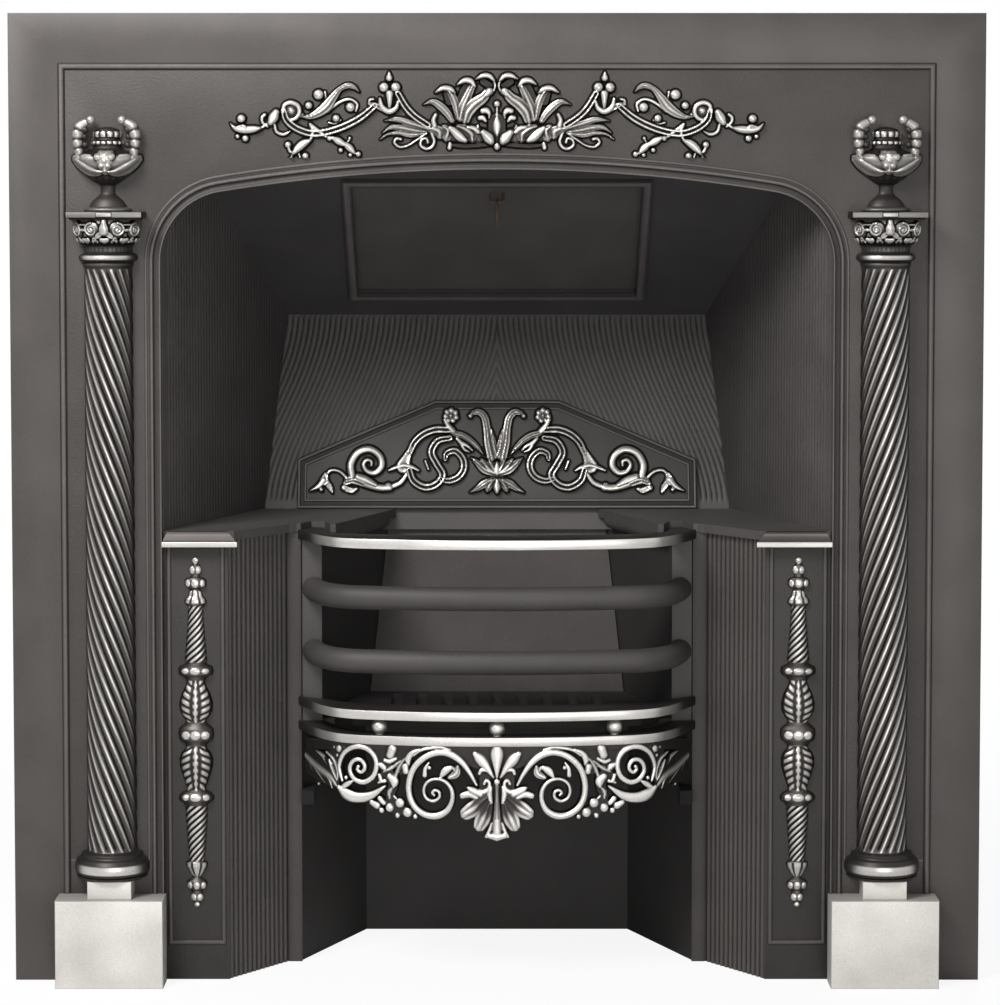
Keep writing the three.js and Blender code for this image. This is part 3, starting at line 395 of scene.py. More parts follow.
def both(half):
    """A half outline from the middle outwards, with its mirror image before it."""
    mirrored = [(-x, z) for x, z in reversed(half) if x > 0]
    return mirrored + list(half)


def wire(casting, line, radii, around, rubbed):
    """A round bar along a line in space. Its radius and how far it is rubbed may change along it."""
    line = np.asarray(line, float)
    radii = np.broadcast_to(radii, len(line))
    along = np.gradient(line, axis=0)
    along /= np.linalg.norm(along, axis=1)[:, None] + 1e-12
    side = np.cross(along[0], (0.0, 1.0, 0.0))
    if np.linalg.norm(side) < 0.1:
        side = np.cross(along[0], (1.0, 0.0, 0.0))
    turns = np.linspace(0, 2 * pi, around, endpoint=False)
    rings = []
    for point, way, radius in zip(line, along, radii):
        side = side - way * side.dot(way)
        side /= np.linalg.norm(side)
        other = np.cross(way, side)
        rings.append(point + radius * (np.outer(np.cos(turns), side) + np.outer(np.sin(turns), other)))
    casting.tube(np.array(rings), np.reshape(rubbed, (-1, 1)))


def smooth_rise(value, low, high):
    """0 below low and 1 above high, with a smooth step between."""
    t = np.clip((value - low) / (high - low), 0, 1)
    return t * t * (3 - 2 * t)


def blurred(values, reach):
    """The values evened out over so many steps each way."""
    out = values.astype(float)
    for _ in range(2):
        for axis in (0, 1):
            padded = np.concatenate([np.repeat(out.take([0], axis), reach, axis), out,
                                     np.repeat(out.take([-1], axis), reach, axis)], axis)
            total = np.cumsum(np.concatenate([np.zeros_like(padded.take([0], axis)), padded], axis), axis)
            size = out.shape[axis]
            out = (total.take(range(2 * reach + 1, 2 * reach + 1 + size), axis)
                   - total.take(range(size), axis)) / (2 * reach + 1)
    return out


# ------------------------------------------------------------------ carved relief

class Carving:
    """Relief drawn by strokes on one half of a panel and mirrored: its height, how far inside its outline
    each point lies, and how much of the polish it took."""

    def __init__(self, wide, low, high, step):
        self.step = step
        self.x = np.arange(0, wide + step, step)
        self.z = np.arange(low, high + step, step)
        self.inside = np.full((len(self.z), len(self.x)), -4 * step)
        self.height = np.zeros_like(self.inside)
        self.shine = np.zeros_like(self.inside)

    def stroke(self, kind, tall, points):
        """A raised stroke of some kind and height along (across, up, half width) points."""
        line = eased(points, 0.9)
        widest = line[:, 2].max() + 4 * self.step
        columns = np.flatnonzero((self.x > line[:, 0].min() - widest) & (self.x < line[:, 0].max() + widest))
        rows = np.flatnonzero((self.z > line[:, 1].min() - widest) & (self.z < line[:, 1].max() + widest))
        if not len(columns) or not len(rows):
            return
        window = np.ix_(rows, columns)
        dx = self.x[columns][None, :, None] - line[:, 0]
        dz = self.z[rows][:, None, None] - line[:, 1]
        distance = np.hypot(dx, dz)
        nearest = np.argmax(line[:, 2] - distance, axis=-1)
        pick = nearest[..., None]
        away = np.take_along_axis(distance, pick, -1)[..., 0]
        width = np.maximum(0.3, line[nearest, 2])
        along = nearest / max(1, len(line) - 1)
        if len(line) > 1:
            way = np.gradient(line[:, :2], axis=0)
            way /= np.linalg.norm(way, axis=1)[:, None] + 1e-9
            across = (way[nearest, 0] * np.take_along_axis(dz, pick, -1)[..., 0]
                      - way[nearest, 1] * np.take_along_axis(dx, pick, -1)[..., 0])
        else:
            across = np.zeros_like(away)
        off = np.abs(across) / width
        if kind == "leaf":  # lobes, with slanting creases between them that run out to a notched edge
            lobes = max(2.0, round(len(line) * 0.9 / 7))
            lobe = smooth_rise(np.abs(np.sin(pi * (lobes * along - 0.9 * off))), 0, 0.6)
            width = width * (1 - 0.3 * (1 - lobe) * (width > 1.5))
        spread = np.clip(away / width, 0, 1)
        body = np.sqrt(1 - spread ** 2)
        shine = 1 - 0.5 * spread ** 2
        tall = tall * np.minimum(1, width / 2.6) ** 0.35
        if kind == "leaf":
            midrib = np.exp(-(off / 0.14) ** 2)
            body = body * (0.66 + 0.34 * lobe) * (1 - 0.25 * midrib)
            shine = (0.3 + 0.7 * lobe) * (1 - 0.6 * midrib) * (1 - 0.4 * spread ** 2)
        elif kind == "flute":  # long grooves beside a ridge, as on a quill
            ridge = np.cos(2.2 * pi * across / width)
            body = body * (0.88 + 0.12 * ridge)
            shine = 0.78 + 0.22 * ridge
        elif kind == "hollow":  # a raised rim round a dished middle
            body = np.minimum(1, (1 - spread) / 0.3) ** 0.6 * (0.62 + 0.38 * spread ** 2)
            shine = 0.78 + 0.22 * smooth_rise(spread, 0.3, 0.7)
        elif kind == "ribbon":  # two beads with a channel between them
            bead = smooth_rise(spread, 0.12, 0.38)
            body = np.minimum(1, (1 - spread) / 0.35) ** 0.6 * (0.5 + 0.5 * bead)
            shine = 0.15 + 0.85 * bead
        elif kind == "shell":  # a petal that is dark at its root and bright and creased at its lip
            ridge = np.cos(2.6 * pi * across / width)
            body = body * (0.9 + 0.1 * ridge)
            shine = (0.2 + 0.8 * smooth_rise(along, 0.3, 0.85)) * (0.8 + 0.2 * ridge)
        elif kind == "dull":  # a soft mound that the wheel hardly touched
            shine = 0.5 + 0 * spread
        elif kind == "flat":  # the black ground between the strokes
            body = np.minimum(1, (1 - spread) * width / 0.8)
            shine = 0 * spread
        depth = width - away
        raised = np.where(depth > 0, tall * body, 0)
        self.inside[window] = np.maximum(self.inside[window], np.minimum(depth, 4 * self.step))
        over = raised > self.height[window]
        self.shine[window] = np.where(over, shine, self.shine[window])
        self.height[window] = np.maximum(self.height[window], raised)

    def whole(self):
        """Both halves of the panel."""
        both_sides = [np.concatenate([a[:, :0:-1], a], 1) for a in (self.inside, self.height, self.shine)]
        return np.concatenate([-self.x[:0:-1], self.x]), *both_sides

    def carve(self, casting, place, wall, polish=1.0, blacking_and_shade_skirt=1.2):
        """Adds the relief as a solid that stands up from its panel by at least its wall, with a thin black
        skirt
        round it: blacking that the polishing wheel never reached, and painted shade where the relief meets
        its ground. Place puts (across, up, rise) points on the panel."""
        x, inside, height, shine = self.whole()
        rows, cols = inside.shape
        solid = inside > -blacking_and_shade_skirt
        cell = solid[:-1, :-1] | solid[1:, :-1] | solid[:-1, 1:] | solid[1:, 1:]
        used = np.zeros_like(solid)
        for i in (0, 1):
            for j in (0, 1):
                used[i:rows - 1 + i, j:cols - 1 + j] |= cell
        slope_z, slope_x = np.gradient(inside, self.step)
        steep = np.maximum(0.25, slope_x ** 2 + slope_z ** 2)
        move = np.where(solid, 0, np.clip(-inside - blacking_and_shade_skirt, 0, 1.2 * self.step)) / steep
        u = x[None, :] + move * slope_x
        v = self.z[:, None] + move * slope_z
        fall_z, fall_x = np.gradient(height, self.step)
        # Faces of the relief that turn from the front are rubbed less: partly where the wheel misses them,
        # partly painted shade on the relief's sides.
        facing_rub_and_shade = smooth_rise(1 / np.sqrt(1 + fall_x ** 2 + fall_z ** 2), 0.25, 0.85)
        proud = np.clip(height - blurred(height, max(2, round(2.4 / self.step))), -1.5, 1.5)
        rubbed = (0.1 + 0.56 * facing_rub_and_shade + 0.3 * proud) * (0.25 + 0.75 * shine)
        # Near its outline the relief is darkened: blacking, and painted shade where it meets its ground.
        rubbed = np.clip(rubbed * smooth_rise(inside, 0, 0.9) * polish, 0, 1)
        rise = np.where(inside > 0, wall + height, min(wall, 0.15))
        number = np.full(solid.shape, -1)
        number[used] = np.arange(used.sum())
        front = place(np.stack([u[used], v[used], rise[used]], -1))
        back = place(np.stack([u[used], v[used], np.full(used.sum(), -LET_IN)], -1))
        i, j = np.nonzero(cell)
        a, b, c, d = number[i, j], number[i, j + 1], number[i + 1, j + 1], number[i + 1, j]
        faces = np.stack([a, b, c, d], -1)
        total = len(front)
        walls = []
        filled = np.zeros((rows + 1, cols + 1), bool)
        filled[1:-1, 1:-1] = cell
        for way, pair in (((-1, 0), (0, 1)), ((0, 1), (1, 2)), ((1, 0), (2, 3)), ((0, -1), (3, 0))):
            open_side = ~filled[i + 1 + way[0], j + 1 + way[1]]
            p, q = faces[open_side, pair[0]], faces[open_side, pair[1]]
            walls.append(np.stack([q, p, p + total, q + total], -1))
        casting.put(np.concatenate([front, back]), np.concatenate([faces, faces[:, ::-1] + total, *walls]),
                    np.concatenate([rubbed[used], np.zeros(total)]))


FRIEZE_STROKES = [
    ("round", 5, [(0, 13, 3.9)]),
    ("round", 3, [(0, 10, 1.6), (0, -3, 1.6)]),
    ("flat", 2, [(0, -5, 9.3), (0, -16.9, 9.3)]),
    ("round", 3.4, [(0, -1, 1.6), (0, -6.9, 4.5), (0, -12.9, 4.1), (0, -18.9, 1.4)]),
    ("round", 5, [(0, -26.3, 2.1), (0, -28.8, 4.1), (0, -30.3, 2.5)]),
    ("round", 5.4, [(14, 6, 3.5), (10.4, 6.4, 3.9), (7.5, 3, 2.3), (7.9, -1, 1.2)]),
    ("round", 5, [(16.8, -1, 3.1), (14, -0.6, 3.3), (11, -4, 1.9)]),
    ("flute", 5.6, [
        (43.8, -4, 3.1), (48.7, 3.4, 4.3), (55.6, 10.6, 4.5), (63.2, 15, 3.3), (72.6, 12.4, 0.8),
    ]),
    ("flute", 5.2, [(38.3, -1, 3.3), (40.3, 10, 4.3), (43.9, 20.5, 4.3), (47.7, 25.5, 3.1)]),
    ("round", 6.4, [(60.6, 24.3, 1.4), (53.2, 28.3, 3.5), (45.7, 27.3, 3.5), (40.9, 23.5, 1.2)]),
    ("flute", 6, [(36.3, -2, 3.7), (33.7, 9, 5.4), (29, 19.9, 4.9), (24.8, 29.3, 3.9)]),
    ("round", 6.6, [(38.9, 31.9, 1.4), (32.3, 35.8, 3.5), (26, 35.2, 3.9), (21.8, 30.5, 2.1)]),
    ("flute", 7.4, [
        (31.3, -3, 5.2), (28.8, 5, 6.6), (22.4, 12.6, 6.8), (14.4, 18.3, 5.8), (9.5, 23.9, 4.7),
    ]),
    ("round", 7.6, [(9.9, 21.9, 3.1), (7.5, 25.3, 4.7)]),
    ("round", 6.6, [(20.8, 37.2, 1.2), (13.8, 40.6, 3.3), (7.5, 40.2, 3.3), (3.1, 36.2, 2.1)]),
    ("round", 5, [(2.9, 35.8, 1.9), (1.9, 29.9, 1.9), (4.5, 22.9, 1.4)]),
    ("flat", 2.6, [(13.4, 34.9, 4.1), (7.5, 30.9, 4.1)]),
    ("flat", 2.6, [(49.3, 22.9, 4.1), (47.3, 15, 4.1)]),
    ("flat", 2.6, [(30.3, 30.9, 4.1), (35.3, 15, 6.2)]),
    ("flat", 2, [(47.3, -26.8, 1.9), (35.3, -28.2, 2.7), (19.4, -27.8, 2.7), (5.5, -26.8, 2.1)]),
    ("dull", 4, [
        (65.2, -12.9, 4.1), (55.2, -14.9, 6.8), (43.3, -16.3, 8.2), (31.3, -16.9, 8.9), (19.4, -17.5, 8.2),
        (9.5, -17.9, 6.2),
    ]),
    ("flute", 5.6, [(69.2, -10.9, 2.7), (63.2, -11.5, 4.5), (57.2, -13.9, 5.6), (56.2, -18.9, 3.7)]),
    ("flute", 6.2, [(52.2, -9.5, 3.1), (48.3, -13.9, 4.9), (49.7, -20.5, 4.5)]),
    ("round", 7.4, [(46.3, -10.9, 3.1), (41.3, -14.9, 5.6), (36.3, -19.5, 5.8), (31.3, -22.9, 3.5)]),
    ("flute", 7.6, [(38.3, -9.3, 2.9), (31.3, -11.9, 5.2), (25.4, -16.5, 6.2), (24.4, -21.9, 4.1)]),
    ("round", 6.6, [(28.4, -9.9, 2.5), (22.4, -11.5, 3.7), (18.4, -14.9, 3.1)]),
    ("round", 4.6, [(19, -8.3, 1.6), (18, -12.9, 2.5), (14.4, -16.3, 4.1)]),
    ("round", 8, [(13.4, -15.5, 4.3), (8.5, -20.5, 6.4), (5.9, -23.9, 4.5)]),
    ("round", 6, [(61.6, -8.9, 3.5), (62.6, -3, 3.1), (60.4, 2.4, 2.5)]),
    ("round", 3, [(46.3, -25.8, 2.1), (46.9, -30.2, 2.7)]),
    ("flute", 5.2, [
        (68.2, -11.9, 1.9), (76.1, -8.9, 3.1), (86.1, -5.9, 3.9), (98, -2.4, 3.3), (110.9, -3.6, 0.9),
    ]),
    ("flute", 4.8, [
        (70.1, -14.4, 1.9), (82.1, -12.9, 3.5), (95, -10.3, 3.5), (105, -10.5, 2.7), (112.9, -15.5, 0.9),
    ]),
    ("flute", 4.4, [
        (72.1, -16.4, 1.9), (85.1, -17.3, 3.3), (97, -15.5, 2.7), (108, -16.9, 1.9), (115.3, -21.9, 0.9),
    ]),
    ("round", 4, [
        (69.2, -15.9, 1.5), (79.1, -22.4, 1.6), (87.6, -27.8, 1.6), (96, -29.3, 1.8), (101.2, -25.1, 1.9),
        (99, -21.2, 1.9), (95, -21.7, 2.1),
    ]),
    ("round", 4, [
        (64.7, -15.9, 1.9), (61.9, -23.9, 2.1), (64.7, -29.6, 2.1), (70.1, -31.1, 2.1), (75.4, -27.6, 2),
        (74.3, -22.4, 1.9), (69.7, -20.9, 1.8), (68.2, -24.7, 2.1),
    ]),
    ("ribbon", 4.6, [(97.5, 22.9, 3.9), (89.5, 9.6, 4.1), (80.7, 0.5, 4.1), (68.2, -7.9, 4.1)]),
    ("round", 4.6, [(106.3, 43.8, 1.6), (106.3, 38.3, 3.9)]),
    ("round", 6, [(111.3, 29.2, 5.6)]),
    ("round", 6, [(100, 29.2, 5.6)]),
    ("round", 6, [(105.8, 22.9, 4.7), (105.8, 16.9, 3.5), (105.8, 10.4, 2.3)]),
    ("round", 5.2, [
        (115.4, 17.9, 2.1), (113.3, 10, 3.5), (106.3, 5.6, 3.7), (99.6, 9, 3.1), (97.4, 15.4, 1.9),
    ]),
    ("round", 4.6, [(126.1, 12.5, 1.5), (125.6, 16.6, 1.9), (122.1, 17.6, 2)]),
    ("hollow", 5, [(126.4, 13, 1.6), (118.9, 11.5, 3), (112.4, 5.5, 1.2)]),
    ("ribbon", 4.6, [
        (120.4, 11, 3.7), (136.8, -2, 4.3), (158.7, -12.1, 4.4), (180.1, -16.1, 4.4), (196, -11.9, 4.3),
        (207, -3.5, 4.1), (210.4, 6.5, 3.5),
    ]),
    ("round", 4.6, [
        (210.8, 5, 2.5), (209.6, 11.5, 2.9), (203.5, 14.2, 3.1), (196.7, 11.2, 3.1), (194.9, 4.5, 2.9),
        (198.5, -1.2, 2.7), (204.5, -2.4, 2.3), (207.9, 3, 1.5),
    ]),
    ("flat", 2, [(202.5, 5.5, 8.4)]),
    ("dull", 3.6, [(202.7, 6, 6.2)]),
    ("round", 4.8, [(202.7, 6, 3.5)]),
    ("flute", 6, [
        (192.5, 0.4, 1.6), (184.6, 0.4, 3.1), (175.6, 4.6, 4.9), (167.7, 11, 5.8), (161.1, 19.9, 4.5),
        (154.7, 27.5, 3.1), (146.8, 30.9, 3.3), (140.8, 29.3, 2.7), (135.8, 24.9, 0.9),
    ]),
    ("round", 2.6, [
        (166.7, 5, 1.6), (158.7, 12.4, 1.9), (150.7, 16.7, 1.9), (143.8, 17.3, 1.9), (138, 12.6, 1.9),
        (139.2, 6, 1.6),
    ]),
    ("round", 6, [(144.5, 9.8, 5.4)]),
    ("round", 5.6, [(175.9, 22.1, 5.8)]),
    ("round", 2.2, [(169.6, 24.9, 1.6), (168.7, 18.9, 1.6)]),
    ("round", 5, [(185.6, 11.4, 4.3)]),
    ("round", 4.8, [(158.7, -1.2, 4.3)]),
    ("round", 2.4, [(192.5, 2, 3.1)]),
    ("round", 2.2, [(165.7, -5.4, 1.4), (159.7, -6.5, 1.4), (154.1, -3, 1.4)]),
    ("round", 6.4, [(223.4, -5.5, 3.7), (220.4, -0.6, 5.8), (217.8, 4.4, 4.3)]),
    ("round", 3.6, [(226.4, -9.4, 1.6), (231.1, -5.4, 2.1), (231.7, -0.4, 2.3), (228.9, 2.4, 2.1)]),
    ("round", 3.6, [(235.3, -12.2, 1.9), (230.3, -9.2, 1.9), (224.9, -5.4, 1.9)]),
    ("round", 3.6, [(219.6, -6.9, 2.1), (217.4, -14.4, 2.1), (210.4, -16.9, 2.2), (204, -13.9, 1.2)]),
    ("round", 5.6, [
        (263.2, -5.9, 0.9), (257.6, -11.3, 3.1), (249.2, -12.5, 4.7), (240.3, -11.9, 4.3),
        (233.7, -10.9, 2.1),
    ]),
    ("round", 5.8, [(256.2, -9.5, 1.4), (250.2, -8.9, 2.5), (246.3, -12.9, 3.1)]),
    ("round", 5.4, [(252.2, -1.6, 4.9)]),
    ("round", 4.4, [(248.3, -20.9, 3.9)]),
    ("round", 3.2, [(256, -18.9, 2.7)]),
    ("round", 4.4, [(184.2, -6.9, 2.1), (181.6, -14.4, 2.5), (184.2, -22.9, 2.1)]),
    ("round", 6, [(184.6, -22.9, 2.3), (190.9, -26, 4.7), (196.5, -30.8, 4.5), (200.9, -35.8, 2.1)]),
    ("round", 4.6, [(206.2, -27.2, 3.9)]),
    ("round", 3.4, [(206.1, -28.2, 2.1), (204.1, -33.8, 2.1), (198.5, -34.8, 2.1)]),
    ("round", 4.8, [(203.1, -41.8, 3.5)]),
    ("round", 3, [(202.2, -35.8, 1.6), (203, -40.8, 1.6)]),
    ("round", 4.8, [(189.2, -38.2, 3.9)]),
    ("round", 3, [(196.5, -33.3, 1.6), (194.5, -39.3, 1.6)]),
    ("round", 4.2, [(184.2, -6.9, 2.1), (177, -12.9, 2.6), (168.7, -18.9, 2.3)]),
    ("round", 4.8, [(165.1, -20.9, 3.3)]),
    ("round", 5.8, [(162.3, -20.3, 2.3), (156.1, -23.7, 4.5), (150.1, -27.2, 2.7)]),
    ("round", 5.4, [(150.2, -26.2, 2.9), (145.2, -30.4, 4.3), (140.2, -35.8, 1.6)]),
    ("round", 3.6, [(145.4, -20.7, 2.1)]),
    ("round", 3.4, [(147.8, -25.3, 1.4), (145.4, -21.3, 1.4)]),
    ("round", 3.8, [(154.2, -32.4, 2.9)]),
    ("round", 3, [(154.7, -27.8, 1.6)]),
    ("round", 4.4, [(136.8, -36.4, 3.3)]),
    ("round", 3.2, [(142.8, -32.8, 1.9), (137.8, -35.8, 1.6)]),
    ("round", 3.6, [(144.8, -37.2, 2.5)]),
]

CREST_STROKES = [
    ("flute", 5.4, [
        (26.4, 53.1, 2.8), (19.4, 54.1, 3.9), (13.6, 48.8, 4.5), (10.8, 37.2, 4.7), (9.3, 22.4, 5.2),
        (5.8, 6.6, 5.8),
    ]),
    ("round", 5, [(28.7, 49.9, 3)]),
    ("flute", 4.6, [(5.8, 35.1, 1.5), (4.7, 26.6, 3.2), (2.8, 16.1, 4.3), (0, 7.7, 3.9)]),
    ("flute", 5.4, [(2.1, -11.2, 3.4), (13.3, -6, 5.4), (21.9, 1.4, 3.4), (27.5, 5.6, 1.1)]),
    ("flute", 5.8, [(1.1, -11.2, 3.7), (9.7, -4.9, 5.8), (16.6, 3.9, 2.2)]),
    ("flute", 6.2, [(0, -12.2, 3.7), (4.7, -3.9, 5.2), (8.6, 4.1, 1.9)]),
    ("round", 6.6, [(0, -10.2, 3.9), (0, -4.5, 4.7), (0, 1, 1.9)]),
    ("flat", 2.6, [(0, -13.9, 7.5)]),
    ("round", 6.4, [(0, -17.5, 2.8), (0, -24.4, 5.1), (0, -30.4, 2.6)]),
    ("flute", 5.8, [(3.2, -17.1, 2.6), (8.2, -23.1, 4.7), (10.3, -28.6, 2.8)]),
    ("flute", 5.2, [(6.4, -17.5, 2.8), (13.9, -21.7, 4.7), (21, -26.5, 3.2), (28.9, -30.6, 1)]),
    ("flute", 5.4, [
        (52.8, 37.2, 2.6), (46.4, 31.9, 3.4), (37.7, 29.4, 3.9), (29.1, 24.5, 3.7), (21.5, 17.6, 3),
        (15.1, 9.8, 1.3),
    ]),
    ("round", 5, [(56.1, 46.1, 3), (52.9, 40.4, 3.7), (47.4, 34, 4.1)]),
    ("round", 4.6, [(43.1, 26, 2.4), (38.1, 21.4, 3.2), (32.3, 18.6, 2.6), (26.3, 13.4, 1.1)]),
    ("round", 4.2, [(38.8, 20.3, 2.2), (34.9, 14.6, 2.2), (29.5, 11.9, 1.1)]),
    ("dull", 3.6, [(49.7, 50.3, 7.6)]),
    ("round", 5.4, [(49.7, 50.3, 2.6)]),
    ("round", 4.6, [(44, 48.6, 3.6)]),
    ("round", 4.6, [(47.5, 45, 3.6)]),
    ("round", 4.6, [(52.6, 45.3, 3.6)]),
    ("round", 4.6, [(55.4, 49.5, 3.6)]),
    ("round", 4.6, [(54, 54.2, 3.6)]),
    ("round", 4.6, [(49.3, 56, 3.6)]),
    ("round", 4.6, [(44.8, 53.5, 3.6)]),
    ("ribbon", 4.2, [
        (51.8, 35.1, 4.1), (65.8, 35.5, 4.5), (78.7, 30.9, 4.5), (88.3, 22.4, 4.3), (93.6, 11.9, 3.9),
    ]),
    ("hollow", 4.6, [(92.6, 15.1, 3.2), (97.2, 5.6, 5.2), (100.6, -3.3, 8.2)]),
    ("round", 4.4, [
        (116, -7.4, 1.7), (108.1, -4.3, 2.8), (99.9, -2.2, 3.2), (91.3, -3.9, 2.8), (84.2, -7.6, 1.7),
    ]),
    ("ribbon", 4.8, [
        (50.6, 26.6, 3.7), (63.6, 23.5, 4.3), (70.4, 11.9, 4.5), (64.9, -0.2, 4.5), (58.4, -12.2, 4.6),
        (65.4, -22.1, 4.6), (77.6, -25, 4.6), (89.5, -18.3, 4.5), (94.1, -7, 4.1),
    ]),
    ("ribbon", 4, [
        (55.5, 4.5, 2.8), (53.8, 10.4, 3.7), (45.2, 12.9, 4.1), (37, 5.2, 4.3), (35.5, -5.3, 4.3),
        (41.2, -14.3, 4.3), (51.5, -18.3, 4.1), (60.1, -16.4, 3.2),
    ]),
    ("round", 2.6, [(76.8, 2, 1.7), (73.5, -6.4, 1.5)]),
    ("round", 3.6, [(96, -10.2, 2.8), (103.4, -20.2, 3.2), (114.8, -25.2, 3.4)]),
    ("round", 4.4, [(116.5, -24.2, 4.7)]),
    ("round", 5, [(114.8, -25.4, 4.3), (123.3, -25.8, 4.5), (131.9, -24.2, 4.7), (140.6, -20.6, 5.8)]),
    ("round", 6.4, [(129.8, -22.7, 3.2), (140.6, -17.5, 5.4), (149.2, -14.3, 4.7)]),
    ("flute", 5.4, [(142.7, -20.6, 4.9), (152.4, -16.9, 6), (160.5, -18.5, 4.1)]),
    ("hollow", 5, [(144.9, -14.8, 3.2), (153.5, -16, 4.9), (162.4, -21.2, 2.8)]),
    ("round", 3.6, [(164.1, -25.8, 3.6)]),
    ("hollow", 3.8, [(164.1, -25.2, 3), (156.5, -28.4, 3.4), (150.1, -26.9, 1.5)]),
    ("round", 4.4, [
        (155.2, -14.3, 4.7), (156.9, -1.3, 4.6), (150, 10.8, 4.5), (137.3, 14.8, 4.4), (126.3, 8.1, 4.3),
        (123.8, -2.5, 4.2), (130.4, -9.7, 3.9), (139, -8.5, 3.3), (143.2, -1.8, 2.9), (139.8, 3.5, 2.6),
        (134.8, 1.8, 2.4), (135, -2.2, 2.1),
    ]),
    ("round", 3.2, [(161.6, -14.8, 2.4), (169.3, -8.5, 2.1), (178.3, -7.6, 2.1), (184, -13.7, 2.1)]),
    ("hollow", 4.6, [(183.6, -11.8, 2.6), (185.2, -18.5, 5.6)]),
    ("round", 4.6, [(185.7, -17.5, 4.3), (190.9, -23.8, 3.6), (200.5, -29, 1)]),
    ("round", 4, [(188.3, -27.5, 2.8)]),
    ("hollow", 4, [(183.5, -18.9, 3.6), (178.7, -25.4, 3.2), (176.2, -31.1, 1)]),
]

